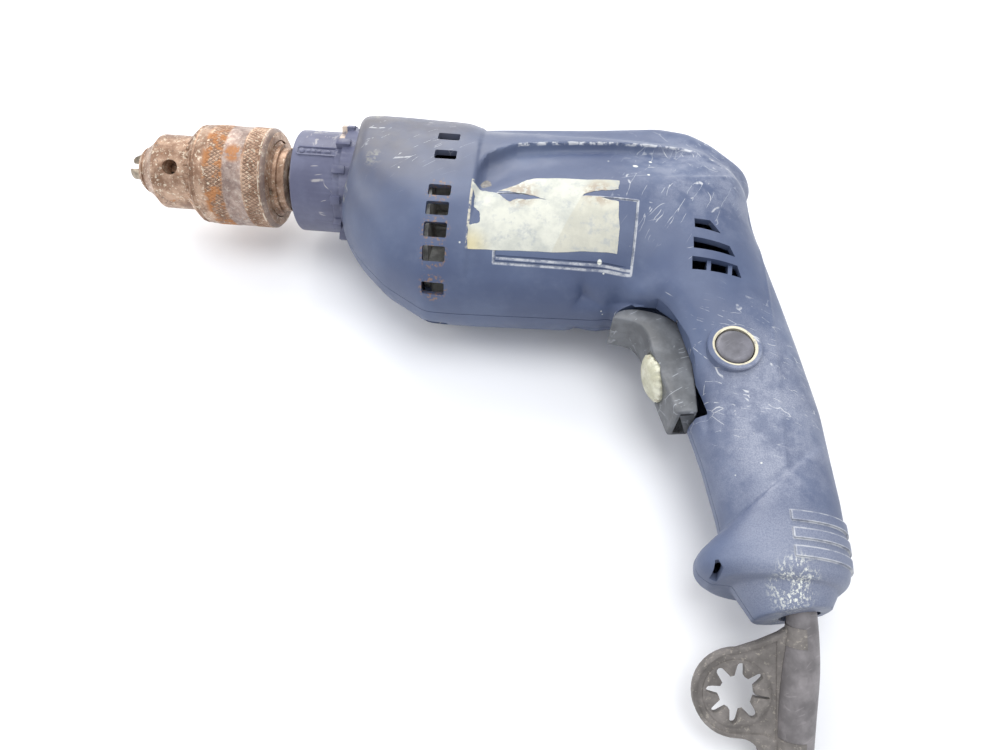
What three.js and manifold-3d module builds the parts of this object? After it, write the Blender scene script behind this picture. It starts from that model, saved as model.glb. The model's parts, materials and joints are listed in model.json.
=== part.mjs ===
// A corded pistol-grip drill with a keyed chuck, lying on its right side. Millimetres.
// In the design frame the spindle turns about X: x = 0 is the front of the clamping collar and +X runs
// back to the handle. +Y is the top of the drill and +Z is its left side, which faces up from the floor.
import * as THREE from 'three';
import { mergeVertices } from 'three/addons/utils/BufferGeometryUtils.js';
import Module from 'manifold-3d';

const wasm = await Module();
wasm.setup();

// ---------------------------------------------------------------- driving dimensions
const CLEAR = 0.3;                       // gap between pieces that touch or run on each other
const WALL = 2.6;                        // housing wall
const FLOOR = -32;                       // plane that the right side rests on
const COLLAR_RADIUS = 21.5;              // 43 mm clamping collar
const COLLAR_LENGTH = 20;
const CHUCK_RADIUS = 21.4;
const SPINDLE_RADIUS = 6;
const GEAR_MODULE = 1;
const SPINDLE_TEETH = 39;
const PINION_TEETH = 6;
const MOTOR_Y = -GEAR_MODULE * (SPINDLE_TEETH + PINION_TEETH) / 2;   // motor axis below the spindle
const ARMATURE_RADIUS = 17;
const STATOR_RADIUS = 28.4;
const SHAFT_RADIUS = 4;
const FAN_BLADES = 9;
const JAW_ANGLE = 12.5 * Math.PI / 180;   // slope of the jaw bores
const JAW_RADIUS = 2.9;
const JAW_GRIP = 2.3;                    // distance of each gripping face from the chuck's axis
const CHUCK_TURN = 36;                   // degrees that the chuck is turned at rest
const KEY_HOLE_X = -53.5;
const JAW_DIRECTIONS = [90, 210, 330].map((degrees) => (degrees + CHUCK_TURN) * Math.PI / 180);
const PULL_ANGLE = 17.3 * Math.PI / 180; // the trigger slides back and slightly up
const TRIGGER_TRAVEL = 6.5;
const BUTTON = { x: 177.8, y: -83, radius: 6.7, top: 21.6 };
const SCREWS = [[60, 21.2], [57, -57.4], [120, -57.2], [126, 21.5], [180, 7], [174.5, -153], [205, -153]];
const GUARD_PATH = [[196.3, -157, 0], [196.3, -171, -0.5], [197.2, -184, -7], [198.6, -198, -15.4], [200,
  -212, -23],
  [200.8, -222, -27.2]];
const GUARD_RADII = [6.3, 6.2, 6.1, 5.9, 5.5, 4.9];
const CORD_RADIUS = 3.75;
const CORD_Z = FLOOR + CORD_RADIUS + 0.1;
const COIL = { x: 144.9, y: -290, innerTurn: 32, outerTurn: 56 };

// ---------------------------------------------------------------- materials
const paint = (color, roughness, metalness) => new THREE.MeshStandardMaterial({ color, roughness,
  metalness });
const NAVY = [0x353c52, 0.5, 0];
const BLACK = [0x18191c, 0.5, 0];
const RUBBER = [0x26272a, 0.75, 0];
const STEEL = [0x9a9a98, 0.35, 1];
const WORN_STEEL = [0x84705e, 0.5, 0.8];
const COPPER = [0xa8623a, 0.4, 1];
const BRASS = [0xb59a55, 0.4, 1];
const CARBON = [0x2b2b2b, 0.8, 0];
const IVORY = [0xd6d3a8, 0.5, 0];

// ---------------------------------------------------------------- solids
/** Turn a closed geometry into a solid that can be joined and cut. */
function solid(geometry) {
  geometry.deleteAttribute('normal');
  geometry.deleteAttribute('uv');
  const merged = mergeVertices(geometry, 1e-4);
  const triangles = new Uint32Array(merged.index.array);
  const vertices = new Float32Array(merged.attributes.position.array);
  if (signedVolume(vertices, triangles) < 0) {
    for (let i = 0; i < triangles.length; i += 3) [triangles[i], triangles[i + 1]] = [triangles[i + 1],
      triangles[i]];
  }
  return new wasm.Manifold(new wasm.Mesh({ numProp: 3, vertProperties: vertices, triVerts: triangles }));
}

function signedVolume(vertices, triangles) {
  const corner = (i) => new THREE.Vector3().fromArray(vertices, 3 * triangles[i]);
  let volume = 0;
  for (let i = 0; i < triangles.length; i += 3) volume += corner(i).dot(corner(i + 1).cross(corner(i + 2)));
  return volume;
}

/** Rotate (degrees about X, Y, Z) and then move a geometry. */
function placed(geometry, [x, y, z] = [0, 0, 0], [rx, ry, rz] = [0, 0, 0]) {
  const turn = new THREE.Euler(...[rx, ry, rz].map(THREE.MathUtils.degToRad));
  geometry.applyMatrix4(new THREE.Matrix4().makeRotationFromEuler(turn).setPosition(x, y, z));
  return solid(geometry);
}

const box = (size, at, turn) => placed(new THREE.BoxGeometry(...size), at, turn);

/** Lathe [x, radius] points about an axis along X at height y. */
function turned(points, segments = 32, y = 0) {
  const profile = points.map(([x, radius]) => new THREE.Vector2(radius, x));
  return placed(new THREE.LatheGeometry(profile, segments), [0, y, 0], [0, 0, -90]);
}

/** A ring or disc between two places on X. */
function ring(x0, x1, inner, outer, segments = 32, y = 0) {
  if (inner === 0) return turned([[x0, 0], [x0, outer], [x1, outer], [x1, 0]], segments, y);
  return turned([[x0, inner], [x0, outer], [x1, outer], [x1, inner], [x0, inner]], segments, y);
}

/** A cylinder along Z between two heights. */
function post(x, y, z0, z1, radius, segments = 16) {
  return placed(new THREE.CylinderGeometry(radius, radius, z1 - z0, segments), [x, y, (z0 + z1) / 2],
    [90, 0, 0]);
}

/** Extrude an outline in X and Y between two heights of Z. */
function slab(points, z0, z1) {
  const outline = new THREE.Shape(points.map(([x, y]) => new THREE.Vector2(x, y)));
  return placed(new THREE.ExtrudeGeometry(outline, { depth: z1 - z0, bevelEnabled: false }), [0, 0, z0]);
}

/** Extrude a Shape drawn in (z, y) along X between two places. */
function extrudedAlongX(shape, x0, x1, y = 0) {
  const geometry = new THREE.ExtrudeGeometry(shape, { depth: x1 - x0, bevelEnabled: false,
    curveSegments: 5 });
  return placed(geometry, [x0, y, 0], [0, 90, 0]);
}

const joined = (...pieces) => pieces.flat().reduce((whole, piece) => whole.add(piece));
const cut = (whole, ...tools) => tools.flat().reduce((rest, tool) => rest.subtract(tool), whole);

/**
 * A solid through a row of stations. Each station has a centre, two half-axis vectors and a power:
 * 2 is an ellipse, and a higher power squares the section's corners.
 */
function loft(stations, columns) {
  const last = stations.length - 1;
  const geometry = new THREE.CylinderGeometry(1, 1, last, columns, last);
  const place = geometry.attributes.position;
  for (let i = 0; i < place.count; i += 1) {
    const station = stations[Math.round(place.getY(i) + last / 2)];
    const angle = Math.atan2(place.getZ(i), place.getX(i));
    const reach = Math.hypot(place.getX(i), place.getZ(i));
    const bend = (value) => reach * Math.sign(value) * Math.abs(value) ** (2 / station.power);
    const point = station.centre.clone()
      .addScaledVector(station.across, bend(Math.cos(angle)))
      .addScaledVector(station.deep, bend(Math.sin(angle)));
    place.setXYZ(i, ...point);
  }
  return solid(geometry);
}

/** A station in the mid-plane, from its front point to its back point, less a wall all round. */
function sectionStation([[x0, y0], [x1, y1], halfWidth, power], inset = 0) {
  const across = new THREE.Vector3(x1 - x0, y1 - y0, 0).multiplyScalar(0.5);
  return {
    centre: new THREE.Vector3((x0 + x1) / 2, (y0 + y1) / 2, 0),
    across: across.setLength(across.length() - inset),
    deep: new THREE.Vector3(0, 0, halfWidth - inset),
    power,
  };
}

/** A tube of changing radius along a curve through points. */
function taperedTube(points, radii, rows, columns, growth = 0) {
  const curve = new THREE.CatmullRomCurve3(points.map((point) => new THREE.Vector3(...point)));
  const stations = Array.from({ length: rows + 1 }, (_, row) => {
    const t = row / rows;
    const along = curve.getTangent(t);
    const side = new THREE.Vector3(1, 0, 0).cross(along).normalize();
    const index = Math.min(Math.floor(t * (radii.length - 1)), radii.length - 2);
    const radius = THREE.MathUtils.lerp(radii[index], radii[index + 1],
      t * (radii.length - 1) - index) + growth;
    return {
      centre: curve.getPoint(t),
      across: side.clone().cross(along).multiplyScalar(radius),
      deep: side.multiplyScalar(radius),
      power: 2,
    };
  });
  return loft(stations, columns);
}

/** A round tube of constant radius along a curve. */
function tube(curve, radius, steps, sides) {
  const outline = new THREE.Shape();
  outline.absarc(0, 0, radius, 0, 2 * Math.PI);
  return placed(new THREE.ExtrudeGeometry(outline, { steps, curveSegments: sides / 2, extrudePath: curve }));
}

/** A spur gear about X between two places. */
function gear(teeth, x0, x1, y, phase = 0) {
  const pitch = GEAR_MODULE * teeth / 2;
  const outline = new THREE.Shape();
  for (let tooth = 0; tooth < teeth; tooth += 1) {
    const flank = [[-0.27, pitch - GEAR_MODULE], [-0.09, pitch + 0.7 * GEAR_MODULE],
      [0.09, pitch + 0.7 * GEAR_MODULE], [0.27, pitch - GEAR_MODULE]];
    flank.forEach(([share, radius], corner) => {
      const angle = (tooth + share + phase) * 2 * Math.PI / teeth;
      const point = [radius * Math.cos(angle), radius * Math.sin(angle)];
      if (tooth === 0 && corner === 0) outline.moveTo(...point);
      else outline.lineTo(...point);
    });
  }
  return extrudedAlongX(outline, x0, x1, y);
}

// ---------------------------------------------------------------- the object's tree
const drill = new THREE.Group();
const CORD_PIECES = ['cord', 'cord_coil', 'cord_tail', 'plug', 'plug_pin_1', 'plug_pin_2'];

/** Add a solid to the object as a named mesh. */
function addPiece(name, body, material) {
  const result = body.getMesh();
  const geometry = new THREE.BufferGeometry();
  geometry.setAttribute('position', new THREE.BufferAttribute(new Float32Array(result.vertProperties), 3));
  geometry.setIndex(new THREE.BufferAttribute(new Uint32Array(result.triVerts), 1));
  geometry.computeVertexNormals();
  const mesh = new THREE.Mesh(geometry, paint(...material));
  mesh.name = name;
  drill.add(mesh);
}

// ---------------------------------------------------------------- housing form
// Each station is [front or bottom point, back or top point, half width, power].
const upright = ([x, bottom, top, halfWidth, power = 2.1]) => [[x, bottom], [x, top], halfWidth, power];
const MOTOR_BODY = [[22, -27, 25.6, 26.6], [26, -33.5, 27.8, 29], [32, -41.5, 29, 31], [44, -53.4, 29.4,
  32.4],
  [62, -64.4, 29.4, 33], [72, -64.6, 29, 33], [80, -64.4, 25.2, 32.9], [130, -62.6, 25.5, 32.7],
  [150, -58, 26, 30.6], [168, -48, 23, 28.6], [182, -36, 14, 23], [188, -26, 6, 15]].map(upright);
const SPINE = [[68, -10, 29.2, 13], [82, -10, 31.4, 14], [127, -9, 33.4, 16.4], [153, -8, 36, 17.4],
  [166, -8, 34, 17.2], [175, -7, 28.5, 16.4], [182, -6, 21.5, 15.4], [188, -3, 17, 13],
  [192, 1.5, 13, 9], [193.6, 5, 9.6, 4.5]].map((row) => upright([...row, 2.8]));
const HANDLE = [[[128, -20], [189, -4], 30, 2.1], [[134, -46], [194.5, -28], 28.6, 2.1], [[138, -63],
  [200.5, -50], 25, 2.1],
  [[154.5, -81], [206.4, -76], 20.8, 2.2], [[164.3, -104], [211.6, -101], 18.4, 2.2],
  [[169.5, -121], [213.3, -122], 17.8, 2.2], [[174, -141], [214.4, -140], 17.6, 2.2],
  [[176, -158], [212, -159], 17.4, 2.2]];
const POMMEL = [[[171.5, -148], [213.6, -112], 18.3, 2.3], [[168, -151.5], [214.8, -132], 19.2, 2.3],
  [[165.8, -156], [214.9, -147], 19.8, 2.3], [[166.3, -160], [213, -158.5], 19.4, 2.3],
  [[170.5, -163.4], [210.6, -164.4], 18.2, 2.3]];
const SKIRT = [[[173, -154], [210.3, -154.5], 16.8, 2.1], [[178, -166], [210.1, -165], 15.6, 2.1],
  [[183, -173.2], [209.6, -168.8], 12.9, 2.1]];
const SKIRT_MOUTH = [[184.5, -177.2], [211, -172.8], 12.9, 2.1];
const FORMS = [[MOTOR_BODY, 18], [SPINE, 12], [HANDLE, 14], [POMMEL, 14]];
const SKIRT_COLUMNS = 12;

function housingOuter() {
  const forms = FORMS.map(([rows, columns]) => loft(rows.map((row) => sectionStation(row)), columns));
  const skirt = loft(SKIRT.map((row) => sectionStation(row)), SKIRT_COLUMNS);
  return joined(forms, skirt, gripRibs());
}

function housingInner() {
  const hollow = (rows, columns) => loft(rows.map((row) => sectionStation(row, WALL)), columns);
  const forms = FORMS.map(([rows, columns]) => hollow(rows.slice(0, -1), columns));
  const frontMouth = ring(20, 24, 0, COLLAR_RADIUS + 2.3, 24);
  return joined(forms, hollow([...SKIRT, SKIRT_MOUTH], SKIRT_COLUMNS), frontMouth);
}

/** Three raised ribs that wrap the back of the handle above the pommel. */
function gripRibs() {
  const swollen = loft(POMMEL.map((row) => sectionStation(row, -0.9)), 14);
  const bands = [-142.5, -148.3, -154.2].map((y) => box([30, 3, 60], [208, y, 0]));
  return bands.map((band) => swollen.intersect(band));
}

/** The row of fan vents in the front hump, on both sides. */
function fanVents() {
  const middle = -17.5;
  const [halfHeight, halfWidth] = [47, 33];
  const vents = [[0.2, 4.9], [-10.8, 4.8], [-29.4, 5.1], [-37.2, 5.6], [-45, 5.8], [-52.6, 5.8], [-60.6,
    5.2]];
  return vents.flatMap(([y, height]) => [1, -1].map((side) => {
    const rise = Math.asin((y - middle) / halfHeight);
    const z = side * halfWidth * Math.cos(rise);
    const lean = Math.atan2(Math.sin(rise) * halfWidth, Math.cos(rise) * halfHeight);
    return box([8.6, height, 11], [66, y, z], [-side * THREE.MathUtils.radToDeg(lean), 0, 0]);
  }));
}

/** Three slanted exhaust slots beside the motor's brushes, on both sides. */
function exhaustSlots() {
  const slots = [[169, -32.5, 9.6], [171.4, -41.4, 14.6], [172, -49.6, 17]];
  return slots.flatMap(([x, y, length]) => [1, -1].map((side) => box([length, 4.6, 20], [x, y,
    side * 26], [0, 0, -10])));
}

/** The opening in front of the handle that the trigger slides in. */
function triggerOpening() {
  const outline = [[132, -72], [134.4, -63.4], [143.6, -60.9], [152.5, -60.2], [163, -64.5], [168.5,
    -80], [174.6, -103],
    [166, -107.6], [150, -108]];
  return slab(outline, -10.5, 10.5);
}

/** A screw tower inside the housing: a thick socket on the right half, a thin one on the left. */
function screwTower([x, y], outer) {
  const towers = joined(post(x, y, -36, -4, 4.9, 8), post(x, y, -4.2, 36, 3.6, 6));
  return towers.intersect(outer);
}

function screwBore([x, y]) {
  return joined(post(x, y, -40, -12, 3.9, 8), post(x, y, -12.5, 11, 1.9 + CLEAR, 6));
}

function makeHousing() {
  const outer = housingOuter();
  const ringWall = cut(post(BUTTON.x, BUTTON.y, 14, 21, 9.7, 16));
  const saddle = box([3, 34, 80], [161, MOTOR_Y, 0]).intersect(outer);
  const rearBearingSaddle = cut(saddle, ring(150, 170, 0, 12 + CLEAR, 18, MOTOR_Y));
  let shell = cut(joined(outer, ringWall), housingInner());
  shell = joined(shell, rearBearingSaddle, SCREWS.map((place) => screwTower(place, outer)));
  shell = cut(shell, fanVents(), exhaustSlots(), triggerOpening(), SCREWS.map(screwBore));
  shell = cut(shell, post(BUTTON.x, BUTTON.y, 9, 30, BUTTON.radius + 0.4, 16));
  shell = cut(shell, box([3.8, 2.6, 14], [169.4, -160.6, 16], [0, 0, -10]));
  const restingSlab = box([320, 320, 2 * -FLOOR], [100, -70, 0]);
  const half = (side) => shell.intersect(restingSlab).intersect(box([320, 320, 60], [100, -70,
    side * (30 + CLEAR / 2)]));
  addPiece('left_housing', half(1), NAVY);
  addPiece('right_housing', half(-1), NAVY);
}

function makeHousingScrews() {
  SCREWS.forEach(([x, y], index) => {
    const head = post(x, y, -15.4, -12.6 - CLEAR, 3.4, 8);
    const shank = post(x, y, -13.2, 9.5, 1.8, 6);
    const recess = joined(box([0.8, 3.6, 2], [x, y, -16]), box([3.6, 0.8, 2], [x, y, -16]));
    addPiece(`housing_screw_${index + 1}`, cut(joined(head, shank), recess), STEEL);
  });
}

// ---------------------------------------------------------------- gear train
function makeGearHousing() {
  const collar = joined(
    turned([[0, 0], [0, COLLAR_RADIUS - 0.8], [0.8, COLLAR_RADIUS], [COLLAR_LENGTH + 1, COLLAR_RADIUS],
      [COLLAR_LENGTH + 1, 23.4], [28, 23.4], [29, 24], [50, 24], [50, 0]], 24),
    ring(32, 50, 0, 14, 16, MOTOR_Y),
    castellations(),
  );
  const hollow = joined(
    ring(-1, 3, 0, 9, 18),
    ring(2.9, 12, 0, 14 + CLEAR, 18),
    ring(11.9, 24, 0, 10, 18),
    ring(23.9, 51, 0, SPINDLE_TEETH * GEAR_MODULE / 2 + 1.8, 24),
    ring(34, 51, 0, 11.4, 16, MOTOR_Y),
  );
  const screwHoles = GEAR_CASE_SCREWS.map(([y, z]) => alongX(40, 51, y, z, 1.4 + 0.2));
  const lugs = GEAR_CASE_SCREWS.map(([y, z]) => alongX(38, 50, y, z, 3.1));
  addPiece('gear_housing', cut(joined(collar, lugs), hollow, screwHoles), NAVY);
}

/** Square blocks round the root of the collar that key it into the housing. */
function castellations() {
  const count = 12;
  const blocks = Array.from({ length: count }, (_, index) => {
    const degrees = 90 + index * 360 / count;
    const angle = THREE.MathUtils.degToRad(degrees);
    const radius = COLLAR_RADIUS + 0.9;
    return box([3.6, 3, 5.4], [19.4, radius * Math.sin(angle), -radius * Math.cos(angle)], [degrees - 90,
      0, 0]);
  });
  return [...blocks, box([5, 3.6, 5], [18.8, COLLAR_RADIUS + 1.4, 4])];
}

const GEAR_CASE_SCREWS = [[2, 23.4], [2, -23.4], [-16.2, 20]];

/** A cylinder along X. */
function alongX(x0, x1, y, z, radius, segments = 6) {
  return placed(new THREE.CylinderGeometry(radius, radius, x1 - x0, segments), [(x0 + x1) / 2, y, z], [0,
    0, 90]);
}

/** The plate that closes the gear case and carries the motor's front bearing and the spindle's rear bush. */
function makeBearingPlate() {
  const plate = joined(
    ring(50.3, 53.3, 0, 24, 24),
    ring(50.3, 53.3, 0, 19, 20, MOTOR_Y),
    ring(53, 58.6, 0, 14, 20, MOTOR_Y),
    ring(53, 57.6, 0, 9.4, 16),
    GEAR_CASE_SCREWS.map(([y, z]) => alongX(50.3, 53.3, y, z, 3.1)),
  );
  const holes = joined(
    ring(51.4, 60, 0, 11 + CLEAR, 20, MOTOR_Y),
    ring(49, 52, 0, 6.5, 14, MOTOR_Y),
    ring(51.6, 60, 0, 6 + CLEAR, 16),
    GEAR_CASE_SCREWS.map(([y, z]) => alongX(49, 55, y, z, 1.4 + 0.2)),
    ring(49, 53, 0, 4.6, 14),
  );
  addPiece('bearing_plate', cut(plate, holes), STEEL);
  GEAR_CASE_SCREWS.forEach(([y, z], index) => {
    const screw = joined(alongX(53.3 + CLEAR, 55.4, y, z, 2.7), alongX(42, 54, y, z, 1.4));
    addPiece(`gear_case_screw_${index + 1}`, screw, STEEL);
  });
}

function makeSpindle() {
  const spindle = turned([[-34, 0], [-34, 5.4], [-33, 6.1], [-5, 6.1], [-4.6, 8.2], [2.4, 8.2], [2.4,
    SPINDLE_RADIUS],
    [50, SPINDLE_RADIUS], [50, 4], [57, 4], [57, 0]], 18);
  const socket = ring(-40, -30, 0, 2.3, 14);
  addPiece('spindle', cut(spindle, socket), STEEL);
  const wheel = joined(gear(SPINDLE_TEETH, 36, 45, 0, 0.25), ring(33, 36.2, 0, 10, 18));
  addPiece('spindle_gear', cut(wheel, ring(30, 50, 0, SPINDLE_RADIUS + 0.1, 18)), STEEL);
  addPiece('spindle_bearing', ring(3 + CLEAR, 11.4, SPINDLE_RADIUS + 0.1, 14, 24), STEEL);
  addPiece('spindle_bush', ring(51.9, 57.2, 4 + 0.1, 6, 16), BRASS);
}

// ---------------------------------------------------------------- chuck
/** A jaw bore or jaw: a cylinder sloping towards the chuck's nose at the given direction round the axis. */
function slopedCylinder(direction, x0, x1, radius, segments = 10) {
  const centreAtNose = JAW_GRIP + 2.1;
  const radial = (x) => centreAtNose + (x + 71) * Math.tan(JAW_ANGLE);
  const length = (x1 - x0) / Math.cos(JAW_ANGLE);
  const geometry = new THREE.CylinderGeometry(radius, radius, length, segments);
  geometry.rotateZ(-Math.PI / 2 + JAW_ANGLE);
  geometry.translate((x0 + x1) / 2, radial((x0 + x1) / 2), 0);
  geometry.rotateX(direction - Math.PI / 2);
  return solid(geometry);
}

function makeJaws() {
  JAW_DIRECTIONS.forEach((direction, index) => {
    const shaft = slopedCylinder(direction, -79, -32, JAW_RADIUS);
    const inside = new THREE.BoxGeometry(60, 20, 20);
    inside.translate(-70, JAW_GRIP - 10, 0);
    inside.rotateX(direction - Math.PI / 2);
    const wedgeSides = [1, -1].map((side) => {
      const flank = new THREE.BoxGeometry(24, 20, 10);
      flank.translate(0, 0, side * 6);
      flank.rotateX(side * 0.42);
      flank.translate(-74, JAW_GRIP, 0);
      flank.rotateX(direction - Math.PI / 2);
      return solid(flank);
    });
    const tipCone = turned([[-77, 0], [-77, 4.2], [-71, 7.6], [-28, 25], [-28, 0]], 14);
    addPiece(`jaw_${index + 1}`, cut(shaft, solid(inside), wedgeSides).intersect(tipCone), STEEL);
  });
}

function makeChuck() {
  const body = turned([[-71, 0], [-71, 8.6], [-70, 9.6], [-68, 10.6], [-62, 15.4], [-61, 15.9], [-43.4,
    15.9], [-43.2, 13.4],
    [-36.4, 13.4], [-36.2, 16.2], [-10, 16.2], [-9.6, 13.6], [-5, 13.6], [-5, 0]], 18);
  const shankHole = turned([[-75, 0], [-75, 7.6], [-71, 7.6], [-69, 7], [-38, 7], [-37, 0]], 12);
  const threadBore = ring(-38, -4, 0, 6.1 + CLEAR, 16);
  const jawBores = JAW_DIRECTIONS.map((direction) => slopedCylinder(direction, -84, -10,
    JAW_RADIUS + CLEAR));
  const keyHoles = [0, 120, 240].map((degrees) => {
    const hole = new THREE.CylinderGeometry(3.12, 3.12, 8, 10);
    hole.rotateX(Math.PI / 2);
    hole.translate(KEY_HOLE_X, 0, 14);
    hole.rotateX(THREE.MathUtils.degToRad(degrees + CHUCK_TURN));
    return solid(hole);
  });
  addPiece('chuck_body', cut(body, shankHole, threadBore, jawBores, keyHoles), WORN_STEEL);
  addPiece('chuck_screw', joined(ring(-36.5, -34 - CLEAR, 0, 4.4, 16), ring(-35, -30.5, 0, 1.9, 12)), STEEL);
  makeChuckSleeve();
}

/** The outer sleeve, with the gear teeth that the key turns, and the split nut pressed inside it. */
function makeChuckSleeve() {
  const shell = turned([[-47.4, 16.3], [-47.4, 17], [-43.4, 20.8], [-36.2, CHUCK_RADIUS], [-12.2,
    CHUCK_RADIUS],
    [-10.4, 19.6], [-10.4, 16.5], [-12.4, 16.5], [-12.5, 20.5], [-42.7, 20.5], [-42.8, 16.3], [-47.4,
      16.3]], 18);
  const teeth = 18;
  const notches = Array.from({ length: teeth }, (_, index) => {
    const notch = new THREE.BoxGeometry(6, 4, 2.2);
    notch.rotateZ(THREE.MathUtils.degToRad(43));
    notch.translate(-45.6, 19.9, 0);
    notch.rotateX((index + 0.5) * 2 * Math.PI / teeth);
    return solid(notch);
  });
  addPiece('chuck_sleeve', cut(shell, notches), WORN_STEEL);
  addPiece('chuck_nut', turned([[-42.4, 14.3], [-42.4, 20], [-37, 20], [-37, 15.5], [-42.4, 14.3]], 18),
    STEEL);
}

// ---------------------------------------------------------------- motor
function makeArmature() {
  const shaft = joined(
    gear(PINION_TEETH, 35.5, 47, MOTOR_Y),
    turned([[46.8, 0], [46.8, 2.6], [50.6, 3.6], [51, SHAFT_RADIUS], [158, SHAFT_RADIUS], [158, 3.4],
      [165, 3.4], [165, 0]], 20, MOTOR_Y),
  );
  addPiece('armature_shaft', shaft, STEEL);
  const slots = 8;
  const slotAngles = Array.from({ length: slots }, (_, index) => (index + 0.5) * 2 * Math.PI / slots);
  const slot = (angle, x0, x1, width, inner, outer) => {
    const bar = new THREE.BoxGeometry(x1 - x0, outer - inner, width);
    bar.translate((x0 + x1) / 2, (inner + outer) / 2, 0);
    bar.rotateX(angle);
    bar.translate(0, MOTOR_Y, 0);
    return solid(bar);
  };
  const core = ring(82, 126, SHAFT_RADIUS + 0.1, ARMATURE_RADIUS, 24, MOTOR_Y);
  const openSlots = slotAngles.map((angle) => slot(angle, 80, 128, 5, 9.5, 19));
  addPiece('armature_core', cut(core, openSlots), STEEL);
  const windings = joined(
    ring(74.5, 81.7, 6.5, 15.4, 18, MOTOR_Y),
    ring(126.3, 134, 6.5, 15.4, 18, MOTOR_Y),
    slotAngles.map((angle) => slot(angle, 80, 128, 4.4, 9.8, 15)),
  );
  addPiece('armature_windings', windings, COPPER);
  const bars = Array.from({ length: 8 }, (_, index) => slot(index * Math.PI / 4, 135, 149.6, 0.6, 11, 13));
  const commutator = turned([[136, 4.1], [136, 11.5], [150, 11.5], [150, 13], [152, 13], [152, 4.1],
    [136, 4.1]], 24, MOTOR_Y);
  addPiece('commutator', cut(commutator, bars), COPPER);
  makeFan();
}

/** The cooling fan behind the bearing plate: a disc with straight blades on its motor side. */
function makeFan() {
  const blades = Array.from({ length: FAN_BLADES }, (_, index) => {
    const blade = new THREE.BoxGeometry(9, 16, 1.4);
    blade.translate(66.4, 19, 0);
    blade.rotateX(index * 2 * Math.PI / FAN_BLADES);
    blade.translate(0, MOTOR_Y, 0);
    return solid(blade);
  });
  const disc = joined(ring(60.4, 62.4, SHAFT_RADIUS + 0.1, 27.6, 27, MOTOR_Y), ring(60.4, 71,
    SHAFT_RADIUS + 0.1, 8, 18, MOTOR_Y));
  addPiece('cooling_fan', joined(disc, blades), [0xb9bcc0, 0.5, 0]);
}

/** Sector of a ring about the motor axis that covers the given angles above the axis. */
function sector(inner, outer, from, to, x0, x1, side) {
  const outline = new THREE.Shape();
  outline.absarc(0, 0, outer, from, to, false);
  outline.absarc(0, 0, inner, to, from, true);
  const whole = extrudedAlongX(outline, x0, x1, MOTOR_Y);
  return side > 0 ? whole : whole.mirror([0, 1, 0]).translate([0, 2 * MOTOR_Y, 0]);
}

function makeField() {
  const [x0, x1] = [80, 128];
  const window = { from: 0.2, to: 0.62, inner: 17.2, outer: 25.2 };
  const outline = new THREE.Shape();
  outline.absarc(0, 0, STATOR_RADIUS, 0, 2 * Math.PI);
  let core = extrudedAlongX(outline, x0, x1, MOTOR_Y);
  core = cut(core, ring(x0 - 1, x1 + 1, 0, ARMATURE_RADIUS + 0.6, 28, MOTOR_Y));
  for (const side of [1, -1]) {
    for (const [from, to] of [[window.from, window.to], [Math.PI - window.to, Math.PI - window.from]]) {
      core = cut(core, sector(window.inner, window.outer, from, to, x0 - 1, x1 + 1, side));
    }
    const [inner, outer] = [18.3, window.outer - CLEAR];
    const ends = [[x0 - 6.3, x0 - CLEAR], [x1 + CLEAR, x1 + 6.3]].map(([a, b]) =>
      sector(inner, outer, window.from + 0.03, Math.PI - window.from - 0.03, a, b, side));
    const legs = [[window.from + 0.03, window.to - 0.03], [Math.PI - window.to + 0.03,
      Math.PI - window.from - 0.03]]
      .map(([from, to]) => sector(inner, outer, from, to, x0 - 2, x1 + 2, side));
    addPiece(side > 0 ? 'field_coil_top' : 'field_coil_bottom', joined(ends, legs), COPPER);
  }
  addPiece('stator_core', core, STEEL);
}

function makeBrushesAndBearings() {
  for (const side of [1, -1]) {
    const name = side > 0 ? 'left' : 'right';
    const at = (z0, z1) => [143, MOTOR_Y, side * (z0 + z1) / 2];
    const holder = cut(box([12, 9.6, 13.4], at(13.2, 26.6)), box([8.8, 6.8, 12], at(12, 24)));
    addPiece(`brush_holder_${name}`, holder, BRASS);
    addPiece(`carbon_brush_${name}`, box([8.2, 6.2, 7], at(11.7, 18.7)), CARBON);
    const turns = 4;
    class SpringWire extends THREE.Curve {
      getPoint(t, target = new THREE.Vector3()) {
        const angle = 2 * Math.PI * turns * t;
        return target.set(143 + 2.2 * Math.cos(angle), MOTOR_Y + 2.2 * Math.sin(angle),
          side * (19.5 + 3.8 * t));
      }
    }
    addPiece(`brush_spring_${name}`, tube(new SpringWire(), 0.32, 28, 4), STEEL);
  }
  addPiece('motor_front_bearing', ring(51.7, 58.4, SHAFT_RADIUS + 0.1, 11, 20, MOTOR_Y), STEEL);
  addPiece('motor_rear_bearing', ring(158.3, 164.4, 3.5, 9.4, 18, MOTOR_Y), STEEL);
  const cup = cut(ring(157.7, 165.9, 0, 12, 18, MOTOR_Y), ring(150, 164.7, 0, 9.4 + CLEAR, 18, MOTOR_Y));
  const shaftHole = ring(150, 170, 0, 3.9, 12, MOTOR_Y);
  addPiece('bearing_cup', cut(cup, shaftHole), RUBBER);
}

// ---------------------------------------------------------------- switch, trigger, speed dial, lock button
const pull = new THREE.Vector3(Math.cos(PULL_ANGLE), Math.sin(PULL_ANGLE), 0);
const DIAL = { x: 150.6, y: -87.4, radius: 8.4, thickness: 8.2 };
const pullDegrees = THREE.MathUtils.radToDeg(PULL_ANGLE);

/** A ring or disc about the pull direction, placed by its distance along it from the dial's centre. */
function aboutPull(from, to, inner, outer, segments = 20) {
  const points = inner === 0
    ? [[from, 0], [from, outer], [to, outer], [to, 0]]
    : [[from, inner], [from, outer], [to, outer], [to, inner], [from, inner]];
  const profile = points.map(([x, radius]) => new THREE.Vector2(radius, x));
  return placed(new THREE.LatheGeometry(profile, segments), [DIAL.x, DIAL.y, 0], [0, 0, -90 + pullDegrees]);
}

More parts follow.
